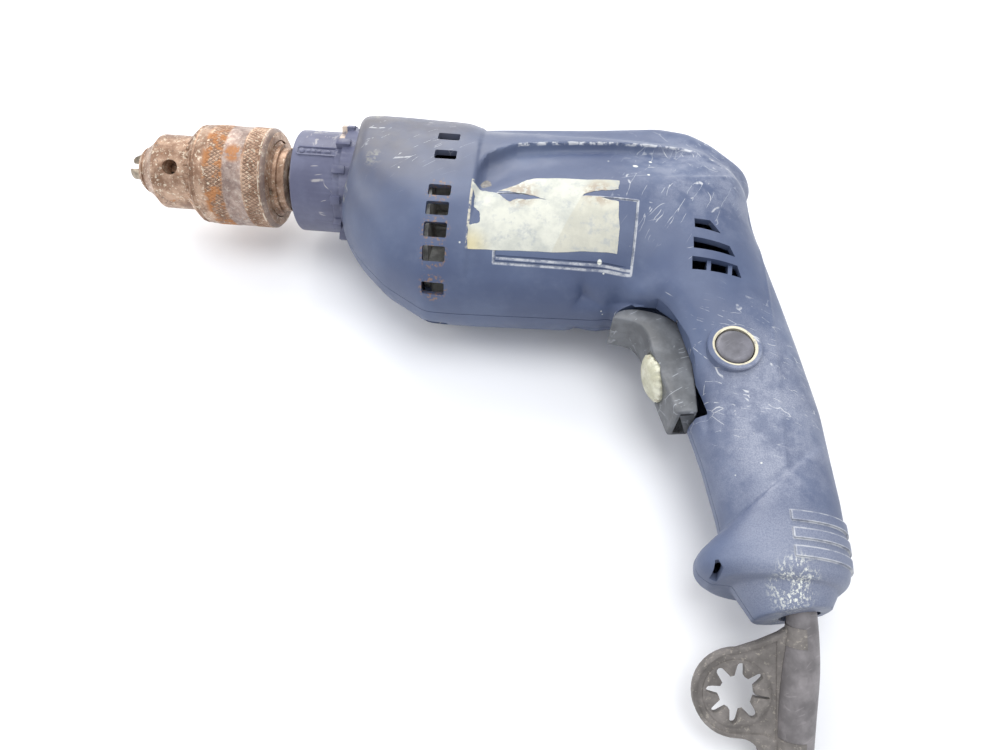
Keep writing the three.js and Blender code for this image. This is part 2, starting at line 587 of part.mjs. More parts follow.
function makeTrigger() {
  const outline = new THREE.Shape();
  outline.moveTo(135.6, -67.4);
  outline.lineTo(140.3, -67.9);
  outline.quadraticCurveTo(147.2, -68.6, 149.3, -75);
  outline.quadraticCurveTo(152.4, -88.5, 159, -105.6);
  outline.lineTo(166.6, -104.6);
  outline.lineTo(165.6, -85);
  outline.lineTo(160.4, -67);
  outline.quadraticCurveTo(153, -62.2, 144, -62.2);
  outline.quadraticCurveTo(136.6, -62.6, 135.6, -67.4);
  const options = { depth: 19, bevelThickness: 0.6, bevelSize: 0.6, bevelOffset: -0.6, bevelSegments: 1,
    curveSegments: 4 };
  const lever = placed(new THREE.ExtrudeGeometry(outline, options), [0, 0, -9.5]);
  const pocket = aboutPull(-12, DIAL.thickness / 2 + 0.5, 0, DIAL.radius + 0.4, 28);
  const stemHole = aboutPull(3, 9, 0, 2.6, 12);
  const springBore = aboutPull(10.4, 30, 0, 4.6, 12).translate([0, -2.8, 0]);
  addPiece('trigger', cut(lever, pocket, stemHole, springBore), BLACK);
}

function makeDial() {
  const half = DIAL.thickness / 2;
  const knob = joined(aboutPull(-half + 1.4, half, 0, DIAL.radius), aboutPull(-half, -half + 1.6, 0,
    DIAL.radius - 2.4),
    aboutPull(half - 0.2, half + 3.8, 0, 2.2, 14));
  const knurls = 10;
  const grooves = Array.from({ length: knurls }, (_, index) => {
    const groove = new THREE.BoxGeometry(20, 1, 1);
    groove.rotateX(Math.PI / 4);
    groove.translate(0, DIAL.radius + 0.1, 0);
    groove.rotateX((index + 0.5) * 2 * Math.PI / knurls);
    return placed(groove, [DIAL.x, DIAL.y, 0], [0, 0, pullDegrees]);
  });
  addPiece('speed_dial', cut(knob, grooves), IVORY);
}

function makeSwitch() {
  const body = box([22, 40, 18], [188.2, -90, 0], [0, 0, pullDegrees - 4]);
  const terminal = box([10, 8, 12], [192, -113, 0], [0, 0, 6]);
  const buttonBore = post(BUTTON.x, BUTTON.y, 1, 12, 3.2, 16);
  addPiece('switch_body', cut(joined(body, terminal), buttonBore), BLACK);
  const cap = new THREE.LatheGeometry([[0, 14], [BUTTON.radius, 14], [BUTTON.radius, 19.8],
    [BUTTON.radius - 0.9, 20.9],
    [BUTTON.radius * 0.6, BUTTON.top - 0.2], [0, BUTTON.top]].map(([radius,
      z]) => new THREE.Vector2(radius, z)), 20);
  const button = joined(placed(cap, [BUTTON.x, BUTTON.y, 0], [90, 0, 0]), post(BUTTON.x, BUTTON.y, 6,
    14.2, 2.6, 10));
  addPiece('lock_button', button, BLACK);
  addPiece('capacitor', post(189, -131, -10, 10, 7.2, 20), [0x8a2f24, 0.5, 0]);
}

/** The spring between the trigger and the switch. */
function makeTriggerSpring() {
  const turns = 5;
  const start = new THREE.Vector3(165.9, -85.4, 0);
  class SpringWire extends THREE.Curve {
    getPoint(t, target = new THREE.Vector3()) {
      const angle = 2 * Math.PI * turns * t;
      const sideways = new THREE.Vector3(-pull.y, pull.x, 0).multiplyScalar(3.4 * Math.cos(angle));
      return target.copy(start).addScaledVector(pull,
        12 * t - 4.3).add(sideways).setZ(3.4 * Math.sin(angle));
    }
  }
  addPiece('trigger_spring', tube(new SpringWire(), 0.4, 35, 4), STEEL);
}

// ---------------------------------------------------------------- cord end
const guardTube = (growth) => taperedTube(GUARD_PATH, GUARD_RADII, 8, 10, growth);

function makeGuardAndClamp() {
  const guard = joined(
    guardTube(0),
    placed(new THREE.CylinderGeometry(9, 9, 3, 16), [196.3, -160, 0]),
  );
  addPiece('cord_guard', guard, RUBBER);
  const saddle = cut(box([20, 7, 5], [190, -147, 3.4]), placed(new THREE.CylinderGeometry(4, 4, 20, 16),
    [190, -147, 0]));
  const screwPlaces = [183, 197];
  const holes = screwPlaces.map((x) => post(x, -147, -10, 10, 1.5, 10));
  addPiece('cord_clamp', cut(saddle, holes), BLACK);
  screwPlaces.forEach((x, index) => {
    addPiece(`clamp_screw_${index + 1}`, joined(post(x, -147, 6.2, 8, 2.4, 10), post(x, -147, -6, 6.4,
      1.2, 8)), STEEL);
  });
}

// The chuck key holder lies in a plane through the guard. In that plane u runs away from the guard and
// w runs down along it.
const HOLDER = { centre: [17.5, 20.8], radius: 14, thickness: 3.4, slots: 8, slotReach: 9.8, hub: 5.2 };

function makeKeyHolder() {
  const plate = new THREE.Shape();
  plate.moveTo(3, -1.5);
  plate.quadraticCurveTo(10, 4.4, 17.5, HOLDER.centre[1] - HOLDER.radius - 0.8);
  plate.absarc(...HOLDER.centre, HOLDER.radius, -Math.PI / 2, Math.PI / 2, false);
  plate.quadraticCurveTo(10, 37, 3, 41);
  plate.lineTo(3, 34);
  plate.quadraticCurveTo(7.5, 30, 7.2, 21);
  plate.quadraticCurveTo(6.8, 9, 3, 4);
  const star = new THREE.Path();
  for (let index = 0; index < HOLDER.slots; index += 1) {
    for (const [share, radius] of [[-0.36, HOLDER.hub], [-0.17, HOLDER.slotReach], [0.17,
      HOLDER.slotReach], [0.36, HOLDER.hub]]) {
      const angle = (index + share) * 2 * Math.PI / HOLDER.slots;
      const point = [HOLDER.centre[0] + radius * Math.cos(angle),
        HOLDER.centre[1] + radius * Math.sin(angle)];
      if (index === 0 && share === -0.36) star.moveTo(...point);
      else star.lineTo(...point);
    }
  }
  plate.holes.push(star);
  const geometry = new THREE.ExtrudeGeometry(plate, { depth: HOLDER.thickness, bevelEnabled: false,
    curveSegments: 4 });
  geometry.translate(0, 0, -HOLDER.thickness / 2);
  const start = new THREE.Vector3(196.4, -174, -1.6);
  const down = new THREE.Vector3(0.07, -0.86, -0.5).normalize();
  const away = new THREE.Vector3(-1, 0, 0).addScaledVector(down, down.x).normalize();
  const normal = away.clone().cross(down);
  geometry.applyMatrix4(new THREE.Matrix4().makeBasis(away, down, normal).setPosition(start));
  const sleeve = guardTube(2.4);
  const bore = guardTube(CLEAR);
  const bands = [[-1.5, 4.5], [34, 41]].map(([from, to]) => {
    const cutter = new THREE.BoxGeometry(40, to - from, 40);
    cutter.translate(0, (from + to) / 2, 0);
    cutter.applyMatrix4(new THREE.Matrix4().makeBasis(away, down, normal).setPosition(start));
    return sleeve.intersect(solid(cutter));
  });
  addPiece('chuck_key_holder', cut(joined(solid(geometry), bands), bore), RUBBER);
}

const UPPER_LAYER = CORD_Z + 2 * CORD_RADIUS + 0.1;
const CORD_LEAD = [[200.85, -223.1, -27.6], [201, -228.5, CORD_Z], [201, -236, CORD_Z], [201, -246, CORD_Z],
  [201, -258, CORD_Z], [200.9, -270, CORD_Z], [200.9, -281, CORD_Z]];
const CORD_TAIL = [[144.9, -346, UPPER_LAYER], [133, -346.2, UPPER_LAYER], [121, -345.6, -21.4], [109,
  -343.6, -24.2],
  [97, -340.2, -27.3], [85, -335.4, -28], [74, -329.8, -26.6], [64, -323.8, -24.4]];
const curveThrough = (points) => new THREE.CatmullRomCurve3(points.map((point) => new THREE.Vector3(...point)));
const cordTube = (points, growth = 0) => tube(curveThrough(points), CORD_RADIUS + growth,
  points.length - 1, 10);

/** The lead from the guard, the outer shape of the coiled length, and the tail to the plug. */
function makeCord() {
  addPiece('cord', cordTube(CORD_LEAD), BLACK);
  const [inner, outer] = [COIL.innerTurn - CORD_RADIUS, COIL.outerTurn + CORD_RADIUS];
  const [bottom, top] = [CORD_Z - CORD_RADIUS, UPPER_LAYER + CORD_RADIUS];
  const round = 2.6;
  const profile = [[inner, bottom + round], [inner + round, bottom], [outer - round, bottom], [outer,
    bottom + round],
    [outer, top - round], [outer - round, top], [inner + round, top], [inner, top - round], [inner,
      bottom + round]];
  const lathe = new THREE.LatheGeometry(profile.map(([radius, z]) => new THREE.Vector2(radius, z)), 24);
  const coil = placed(lathe, [COIL.x, COIL.y, 0], [90, 0, 0]);
  addPiece('cord_coil', cut(coil, cordTube(CORD_LEAD, CLEAR), cordTube(CORD_TAIL, CLEAR)), BLACK);
  addPiece('cord_tail', cordTube(CORD_TAIL), BLACK);
}

/** A flat two-pin plug at the end of the cord's tail. */
function makePlug() {
  const [before, end] = CORD_TAIL.slice(-2).map(([x, y]) => new THREE.Vector3(x, y, -24.4));
  const heading = end.clone().sub(before).normalize();
  const sideways = new THREE.Vector3(-heading.y, heading.x, 0);
  const rows = [[0.4, 5, 5], [12, 5.6, 5.6], [15, 11.6, 7.2], [32, 13.2, 7.2], [40, 13.2, 6.6]];
  const stations = rows.map(([along, halfWidth, halfThickness]) => ({
    centre: end.clone().addScaledVector(heading, along),
    across: sideways.clone().multiplyScalar(halfWidth),
    deep: new THREE.Vector3(0, 0, halfThickness),
    power: 3,
  }));
  addPiece('plug', cut(loft(stations, 14), cordTube(CORD_TAIL, CLEAR)), BLACK);
  [-9.5, 9.5].forEach((offset, index) => {
    const middle = end.clone().addScaledVector(heading, 49.9).addScaledVector(sideways, offset);
    const turn = THREE.MathUtils.radToDeg(Math.atan2(heading.y, heading.x)) - 90;
    addPiece(`plug_pin_${index + 1}`, placed(new THREE.CylinderGeometry(2.4, 2.4, 19, 10),
      middle.toArray(), [0, 0, turn]), BRASS);
  });
}

makeHousing();
makeHousingScrews();
makeGearHousing();
makeBearingPlate();
makeSpindle();
makeChuck();
makeJaws();
makeArmature();
makeField();
makeBrushesAndBearings();
makeTrigger();
makeDial();
makeSwitch();
makeTriggerSpring();
makeGuardAndClamp();
makeKeyHolder();
makeCord();
makePlug();

// The origin is at the middle of the drill's base, without the cord.
const extent = new THREE.Box3();
drill.children.filter((mesh) => !CORD_PIECES.includes(mesh.name)).forEach((mesh) => extent.expandByObject(mesh));
const middle = extent.getCenter(new THREE.Vector3());
drill.position.set(-middle.x, -middle.y, -extent.min.z);

export default drill;
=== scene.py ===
"""Looks of a worn corded pistol-grip drill that lies on its right side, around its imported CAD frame."""
import itertools
import json
import math

import bpy
import numpy as np
from mathutils import Matrix, Vector
from mathutils.geometry import delaunay_2d_cdt

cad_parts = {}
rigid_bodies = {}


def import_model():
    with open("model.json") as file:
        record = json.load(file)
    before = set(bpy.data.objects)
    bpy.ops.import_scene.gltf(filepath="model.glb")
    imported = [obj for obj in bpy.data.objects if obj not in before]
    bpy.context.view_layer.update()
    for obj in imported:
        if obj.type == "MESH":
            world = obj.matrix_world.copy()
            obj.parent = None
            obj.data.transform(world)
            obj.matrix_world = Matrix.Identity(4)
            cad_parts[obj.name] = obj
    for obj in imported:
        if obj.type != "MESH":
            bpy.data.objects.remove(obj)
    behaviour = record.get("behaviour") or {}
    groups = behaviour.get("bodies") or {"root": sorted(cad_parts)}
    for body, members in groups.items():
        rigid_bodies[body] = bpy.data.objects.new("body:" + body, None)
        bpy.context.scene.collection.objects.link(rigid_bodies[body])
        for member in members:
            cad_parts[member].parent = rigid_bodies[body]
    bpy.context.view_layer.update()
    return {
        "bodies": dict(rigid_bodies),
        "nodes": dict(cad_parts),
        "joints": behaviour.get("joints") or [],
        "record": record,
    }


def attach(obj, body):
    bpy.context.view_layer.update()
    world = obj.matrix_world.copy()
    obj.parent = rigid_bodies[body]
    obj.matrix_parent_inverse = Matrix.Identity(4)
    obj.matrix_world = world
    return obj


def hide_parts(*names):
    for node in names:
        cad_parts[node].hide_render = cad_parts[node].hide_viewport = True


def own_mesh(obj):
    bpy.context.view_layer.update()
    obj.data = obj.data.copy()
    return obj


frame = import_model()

# Shapes are written in millimetres from the point where the spindle's axis meets the collar's front:
# x runs back along the spindle, y to the top of the drill and z to its left side, which faces up.
MM = 0.001
COLLAR_FACE = next(m for m in frame["record"]["mounts"] if m["name"] == "collar_front")
MOUNT_ABOVE_AXIS = 15
ORIGIN = Vector(COLLAR_FACE["pos_m"]) - Vector((0, MOUNT_ABOVE_AXIS * MM, 0))
FLOOR = -32
RANDOM = np.random.default_rng(7)


def row(x, y, z):
    """The row-frame point of a place in the drill's own millimetres."""
    return ORIGIN + Vector((x, y, z)) * MM


def add_object(name, data):
    """A new object in the scene."""
    obj = bpy.data.objects.new(name, data)
    bpy.context.scene.collection.objects.link(obj)
    return obj


# ------------------------------------------------------------------------------------------ camera
def make_camera():
    """Looks down at the drill from beside its handle, as the photograph does."""
    tilt, turn, distance = math.radians(29.5), math.radians(5.2), 0.2838
    across = Vector((math.cos(turn), math.sin(turn), 0))
    along = Vector((-math.sin(turn), math.cos(turn), 0))
    back = Vector((0, 0, math.cos(tilt))) - along * math.sin(tilt)
    up = back.cross(across)
    camera = add_object("camera", bpy.data.cameras.new("camera"))
    camera.matrix_world = Matrix.Translation(row(94.9, -90.6, 0) + back * distance) @ Matrix(
        (across, up, back)
    ).transposed().to_4x4()
    camera.data.lens = 27.04
    bpy.context.scene.camera = camera


# ------------------------------------------------------------------------------------------- cord
CORD_RADIUS = 3.75
CORD_Z = FLOOR + CORD_RADIUS + 0.1
UPPER_LAYER = CORD_Z + 2 * CORD_RADIUS + 0.1
COIL_CENTRE = (144.9, -290)
COIL_INNER_TURN, COIL_OUTER_TURN = 32, 56
CORD_LEAD = [(200.85, -223.1, -27.6), (201, -228.5, CORD_Z), (201, -236, CORD_Z), (201, -246, CORD_Z),
             (201, -258, CORD_Z), (200.9, -270, CORD_Z), (200.9, -281, CORD_Z)]
CORD_TAIL = [(144.9, -346, UPPER_LAYER), (133, -346.2, UPPER_LAYER), (121, -345.6, -21.4),
             (109, -343.6, -24.2), (97, -340.2, -27.3), (85, -335.4, -28), (74, -329.8, -26.6),
             (64, -323.8, -24.4)]


def coil_turns():
    """Three turns inwards on the floor, three outwards on top of them, and a quarter turn to the tail."""
    inward, outward = 3 * 360, 6 * 360
    climb = 66
    points = []
    for travelled in range(12, outward + 80, 24):
        share = abs(min(travelled, outward) - inward) / inward
        radius = COIL_INNER_TURN + (COIL_OUTER_TURN - COIL_INNER_TURN) * share
        risen = min(max((travelled - inward + climb) / climb, 0), 1)
        height = CORD_Z + (UPPER_LAYER - CORD_Z) * risen * risen * (3 - 2 * risen)
        angle = -math.radians(travelled)
        x, y = COIL_CENTRE[0] + radius * math.cos(angle), COIL_CENTRE[1] + radius * math.sin(angle)
        points.append((x, y, height))
    return points


def make_cord(material):
    """The free cord: a lead from the guard, the coil on the floor and the tail to the plug."""
    curve = bpy.data.curves.new("flex", "CURVE")
    curve.dimensions = "3D"
    curve.bevel_depth = CORD_RADIUS * MM
    curve.bevel_resolution = 5
    curve.resolution_u = 6
    curve.use_fill_caps = True
    points = CORD_LEAD + coil_turns() + CORD_TAIL
    spline = curve.splines.new("BEZIER")
    spline.bezier_points.add(len(points) - 1)
    for knot, point in zip(spline.bezier_points, points):
        knot.co = row(*point)
        knot.handle_left_type = knot.handle_right_type = "AUTO"
    curve.materials.append(material)
    flex = add_object("flex", curve)
    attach(flex, "drill_body")
    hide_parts("cord", "cord_coil", "cord_tail")
    return flex


# ---------------------------------------------------------------------------------- mesh building
class Shape:
    """Points in millimetres and the faces between them."""

    def __init__(self, points, faces):
        self.points = np.asarray(points, float).reshape(-1, 3)
        self.faces = [tuple(int(i) for i in face) for face in faces]

    def moved(self, matrix):
        turned = self.points @ np.array(matrix.to_3x3()).T + np.array(matrix.translation)
        return Shape(turned, self.faces)

    def flipped(self):
        return Shape(self.points, [face[::-1] for face in self.faces])


def merged(shapes):
    """Several separate shapes as one."""
    points, faces, count = [], [], 0
    for shape in shapes:
        points.append(shape.points)
        faces += [tuple(i + count for i in face) for face in shape.faces]
        count += len(shape.points)
    return Shape(np.concatenate(points), faces)


def rings_shape(rings):
    """A closed solid through rings of points that run anticlockwise round the way from first to last."""
    rings = np.asarray(rings, float)
    count, around = rings.shape[:2]
    faces = [tuple(range(around))[::-1], tuple((count - 1) * around + i for i in range(around))]
    for k, i in itertools.product(range(count - 1), range(around)):
        a, b = k * around + i, k * around + (i + 1) % around
        faces.append((a, b, b + around, a + around))
    return Shape(rings.reshape(-1, 3), faces)


def prism(outline, z0, z1):
    """A solid with an outline in x and y, between two heights."""
    flat = np.asarray(outline, float)
    ahead = np.roll(flat, -1, axis=0)
    if (flat[:, 0] * ahead[:, 1] - flat[:, 1] * ahead[:, 0]).sum() < 0:
        flat = flat[::-1]
    return rings_shape([np.column_stack([flat, np.full(len(flat), z)]) for z in (z0, z1)])


def box(size, centre=(0, 0, 0), turn=None):
    """A block about its centre, turned by a 3 x 3 rotation if one is given."""
    x, y, z = (length / 2 for length in size)
    block = prism([(-x, -y), (x, -y), (x, y), (-x, y)], -z, z)
    place = Matrix.Translation(centre)
    return block.moved(place @ turn.to_4x4() if turn else place)


def about(axis, degrees):
    """A rotation about one of the drill's axes."""
    return Matrix.Rotation(math.radians(degrees), 3, axis)


def upright(x, y):
    """The place for a profile that is turned about the z direction instead of the x axis."""
    return Matrix.Translation((x, y, 0)) @ about("Y", -90).to_4x4()


def turned(profile, segments=96, ripple=None):
    """A profile of (x, radius) turned about the x axis. It starts and ends on the axis or closes on itself.
    ripple, if given, changes the radius by place along the profile, x and angle."""
    angles = np.arange(segments) * 2 * math.pi / segments
    points, rings = [], []
    for x, radius in profile:
        if radius < 1e-6:
            rings.append([len(points)] * segments)
            points.append((x, 0, 0))
            continue
        radii = np.full(segments, float(radius)) if ripple is None else ripple(x, radius, angles)
        rings.append(list(range(len(points), len(points) + segments)))
        points += list(zip([x] * segments, radii * np.cos(angles), radii * np.sin(angles)))
    closed = profile[0][1] > 1e-6
    faces = []
    for k in range(len(rings) - (0 if closed else 1)):
        near, far = rings[k], rings[(k + 1) % len(rings)]
        for i in range(segments):
            j = (i + 1) % segments
            corners = dict.fromkeys((near[i], near[j], far[j], far[i]))
            faces.append(tuple(corners))
    return facing_out(Shape(points, faces))


def facing_out(shape):
    """A closed shape with its faces turned to look out of it."""
    volume = 0.0
    for face in shape.faces:
        first = shape.points[face[0]]
        for a, b in zip(face[1:-1], face[2:]):
            volume += first @ np.cross(shape.points[a], shape.points[b])
    return shape if volume > 0 else shape.flipped()


def cylinder(start, end, radius, segments=48, end_radius=None):
    """A rod or cone between two points."""
    along = Vector(end) - Vector(start)
    turn = along.to_track_quat("X", "Z").to_matrix().to_4x4()
    end_radius = radius if end_radius is None else end_radius
    profile = [(0, 0), (0, radius), (along.length, end_radius), (along.length, 0)]
    return turned(profile, segments).moved(Matrix.Translation(start) @ turn)


def superellipse(around, power):
    """Unit outline points whose corners are squarer with a higher power."""
    angles = np.arange(around) * 2 * math.pi / around
    bend = lambda value: np.sign(value) * np.abs(value) ** (2 / power)
    return bend(np.cos(angles)), bend(np.sin(angles))


def arc(centre, radius, start, end, count=5):
    """Points on a circle, from one angle to another in degrees."""
    turns = np.radians(np.linspace(start, end, count))
    return [(centre[0] + radius * math.cos(t), centre[1] + radius * math.sin(t)) for t in turns]


def nicked(length, height, nick):
    """A rectangle about the origin with its corners cut off."""
    a, b = length / 2, height / 2
    return [(nick - a, -b), (a - nick, -b), (a, nick - b), (a, b - nick), (a - nick, b), (nick - a, b),
            (-a, b - nick), (-a, nick - b)]


def make_object(name, shape, material=None, sharp=35):
    """A smooth-shaded mesh object in the row frame."""
    mesh = bpy.data.meshes.new(name)
    mesh.from_pydata((shape.points * MM + np.array(ORIGIN)).tolist(), [], shape.faces)
    obj = add_object(name, mesh)
    finish_mesh(obj, material, sharp)
    return obj


def finish_mesh(obj, material, sharp=35):
    """Smooth shading with sharp edges past an angle in degrees, and the material."""
    mesh = obj.data
    mesh.shade_smooth()
    mesh.set_sharp_from_angle(angle=math.radians(sharp))
    if material:
        paint(mesh, material)


def paint(mesh, material):
    """Give a mesh one material."""
    mesh.materials.clear()
    mesh.materials.append(material)


def apply_modifiers(obj):
    """Bake an object's modifiers into its mesh."""
    mesh = bpy.data.meshes.new_from_object(obj.evaluated_get(bpy.context.evaluated_depsgraph_get()))
    obj.modifiers.clear()
    obj.data = mesh


def combine(obj, shapes, operation):
    """Join solids to an object, cut them from it, or keep what it shares with them; the solids go."""
    for shape in shapes:
        tool = shape if isinstance(shape, bpy.types.Object) else make_object("tool", shape)
        modifier = obj.modifiers.new("combine", "BOOLEAN")
        modifier.operation = operation
        modifier.solver = "MANIFOLD"
        modifier.object = tool
        apply_modifiers(obj)
        bpy.data.objects.remove(tool)
    return obj


def cut(obj, *shapes):
    return combine(obj, shapes, "DIFFERENCE")


def join(obj, *shapes):
    return combine(obj, shapes, "UNION")


def keep(obj, shape):
    return combine(obj, [shape], "INTERSECT")


def bevel(obj, width, segments=3, angle=30):
    """Round the edges that bend by more than an angle in degrees."""
    modifier = obj.modifiers.new("bevel", "BEVEL")
    modifier.width = width * MM
    modifier.segments = segments
    modifier.limit_method = "ANGLE"
    modifier.angle_limit = math.radians(angle)
    modifier.harden_normals = True
    apply_modifiers(obj)
    return obj


def fit(obj, body, slot, *nodes):
    """Attach a finished piece to the body that it rides on and hide the CAD nodes that it stands for; slot
    is not used.
    """
    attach(obj, body)
    if nodes:
        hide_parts(*nodes)
    return obj


make_camera()


# -------------------------------------------------------------------------------------- materials
class Shader:
    """Builds one material from procedural nodes; places are in the row frame, as in every mesh."""

    def __init__(self, name, roughness=0.5, metallic=0.0):
        self.material = bpy.data.materials.new(name)
        self.material.use_nodes = True
        self.tree = self.material.node_tree
        self.surface = self.tree.nodes["Principled BSDF"]
        self.surface.inputs["Roughness"].default_value = roughness
        self.surface.inputs["Metallic"].default_value = metallic
        self.place = self.tree.nodes.new("ShaderNodeTexCoord").outputs["Object"]

    def node(self, kind, inputs, **settings):
        """A new node, with each input linked to a socket or set to a value."""
        made = self.tree.nodes.new(kind)
        for key, value in settings.items():
            setattr(made, key, value)
        for key, value in inputs.items():
            if isinstance(value, bpy.types.NodeSocket):
                self.tree.links.new(value, made.inputs[key])
            else:
                made.inputs[key].default_value = value
        return made

    def math(self, operation, a, b=0.0):
        return self.node("ShaderNodeMath", {0: a, 1: b}, operation=operation).outputs[0]

    def noise(self, scale, detail=3.0, roughness=0.5, stretch=None, distortion=0.0):
        """Noise from 0 to 1, with features about 1/scale metres wide."""
        place = self.place
        if stretch:
            place = self.node("ShaderNodeMapping", {"Vector": place, "Scale": stretch}).outputs[0]
        inputs = {"Vector": place, "Scale": scale, "Detail": detail, "Roughness": roughness}
        inputs["Distortion"] = distortion
        return self.node("ShaderNodeTexNoise", inputs).outputs["Fac"]

    def step(self, value, low, high, bottom=0.0, top=1.0):
        """A smooth rise from bottom to top as value goes from low to high."""
        inputs = {"Value": value, "From Min": low, "From Max": high, "To Min": bottom, "To Max": top}
        made = self.node("ShaderNodeMapRange", inputs, interpolation_type="SMOOTHSTEP")
        return made.outputs[0]

    def between(self, value, rise, fall):
        """1 between two places, rising over one range and falling over the other."""
        return self.both(self.step(value, *rise), self.step(value, *fall, 1, 0))

    def patches(self, noise, low, high, bottom=0.0, top=1.0):
        """Soft-edged patches: a smooth step of noise, which is given by its own settings."""
        return self.step(self.noise(*noise), low, high, bottom, top)

    def vector(self, operation, a, b=(0, 0, 0), output="Vector"):
        """The result of a vector sum."""
        return self.node("ShaderNodeVectorMath", {0: a, 1: b}, operation=operation).outputs[output]

    def near(self, centre, radius, soft=0.5, squash=(1, 1, 1)):
        """1 inside a ball about a place in millimetres, fading to 0 at its radius."""
        offset = self.vector("MULTIPLY", self.vector("SUBTRACT", self.place, row(*centre)), squash)
        away = self.vector("LENGTH", offset, output="Value")
        return self.step(away, radius * MM * (1 - soft), radius * MM, 1.0, 0.0)

    def stripe(self, start, end, width, soft=0.4):
        """1 along a straight line in x and y, at any height."""
        length = math.dist(start, end)
        ahead = ((end[0] - start[0]) / length, (end[1] - start[1]) / length, 0)
        sideways = (ahead[1], -ahead[0], 0)
        offset = self.vector("SUBTRACT", self.place, row(*start, 0))
        masks = []
        for way, middle, half in ((ahead, length / 2, length / 2), (sideways, 0, width / 2)):
            travel = self.vector("DOT_PRODUCT", offset, way, "Value")
            away = self.math("ABSOLUTE", self.math("SUBTRACT", travel, middle * MM))
            masks.append(self.step(away, half * MM, (half + soft) * MM, 1, 0))
        return self.both(*masks)

    def outline(self, points, width):
        """1 along all the lines that join a row of places."""
        return self.either(*(self.stripe(a, b, width) for a, b in itertools.pairwise(points)))

    def axis(self, name):
        """One coordinate of the place, in the drill's own millimetres."""
        index = "XYZ".index(name)
        value = self.node("ShaderNodeSeparateXYZ", {0: self.place}).outputs[index]
        return self.math("MULTIPLY", self.math("SUBTRACT", value, ORIGIN[index]), 1 / MM)

    def length(self, a, b):
        """The length of an arrow with two coordinates."""
        squares = (self.math("MULTIPLY", value, value) for value in (a, b))
        return self.math("SQRT", self.math("ADD", *squares))

    def both(self, *masks):
        """1 where all the masks are 1."""
        result = masks[0]
        for mask in masks[1:]:
            result = self.math("MULTIPLY", result, mask)
        return result

    def either(self, *masks):
        """The highest of the masks."""
        result = masks[0]
        for mask in masks[1:]:
            result = self.math("MAXIMUM", result, mask)
        return result

    def mix(self, mask, below, above):
        """One colour below and one above where the mask is 1; each is (r, g, b) or a socket."""
        full = lambda colour: (*colour, 1.0) if isinstance(colour, tuple) else colour
        inputs = {0: mask, 6: full(below), 7: full(above)}
        return self.node("ShaderNodeMix", inputs, data_type="RGBA").outputs[2]

    def cover(self, tone, mask, share, colour):
        """A tone with a share of a colour laid over it where the mask is."""
        return self.mix(self.math("MULTIPLY", mask, share), tone, colour)

    def colour(self, value):
        self.send(value if isinstance(value, bpy.types.NodeSocket) else (*value, 1.0), "Base Color")
        return self

    def send(self, value, name):
        """Link a socket to an input of the surface, or set it to a value."""
        if isinstance(value, bpy.types.NodeSocket):
            self.tree.links.new(value, self.surface.inputs[name])
        else:
            self.surface.inputs[name].default_value = value
        return self

    def finished(self, tone, grain, depth, strength):
        """The material in a colour or tone, with fine relief from noise of the given settings."""
        return self.colour(tone).bump(self.noise(*grain), depth, strength).material

    def bump(self, height, depth, strength=0.6):
        """Fine relief: height from 0 to 1 stands for depth millimetres."""
        made = self.node("ShaderNodeBump", {"Height": height, "Strength": strength, "Distance": depth * MM})
        return self.send(made.outputs[0], "Normal")

    def scratches(self, scale, seed_turn, thin=0.012, share=0.5, bend=0.6):
        """Fine scattered scratches that run mostly one way."""
        rotation = (0, 0, math.radians(seed_turn))
        turn = self.node("ShaderNodeMapping", {"Vector": self.place, "Rotation": rotation})
        warp = self.noise(scale * 0.4, 2, 0.5)
        stretched = self.node("ShaderNodeMapping", {"Vector": turn.outputs[0], "Scale": (1, 0.09, 0.5)})
        shifted = self.vector("ADD", stretched.outputs[0], self.math("MULTIPLY", warp, bend / scale))
        inputs = {"Vector": shifted, "Scale": scale}
        cells = self.node("ShaderNodeTexVoronoi", inputs, feature="DISTANCE_TO_EDGE")
        line = self.step(cells.outputs["Distance"], thin * 0.3, thin, 1.0, 0.0)
        gate = self.patches((scale * 0.6, 2, 0.6, (1.7, 0.8, 1)), share, share + 0.08)
        return self.both(line, gate)


def plain(name, colour, roughness, metallic=0.0, mottle=0.25, scale=300, relief=0.05):
    """A material of one colour with uneven tone and a fine surface."""
    shader = Shader(name, roughness, metallic)
    grain = shader.noise(scale, 4, 0.6)
    darker = tuple(value * (1 - mottle) for value in colour)
    lighter = tuple(min(value * (1 + mottle), 1) for value in colour)
    shader.colour(shader.mix(shader.step(grain, 0.3, 0.7), darker, lighter))
    smooth, rough = max(roughness - 0.08, 0.05), min(roughness + 0.08, 1)
    shader.send(shader.step(grain, 0.2, 0.8, smooth, rough), "Roughness")
    shader.bump(shader.noise(scale * 6, 3, 0.6), relief)
    return shader.material


RUSTY_VENTS = ((-29.4, 31), (-45, 27), (-52.6, 22), (-61.4, 12))


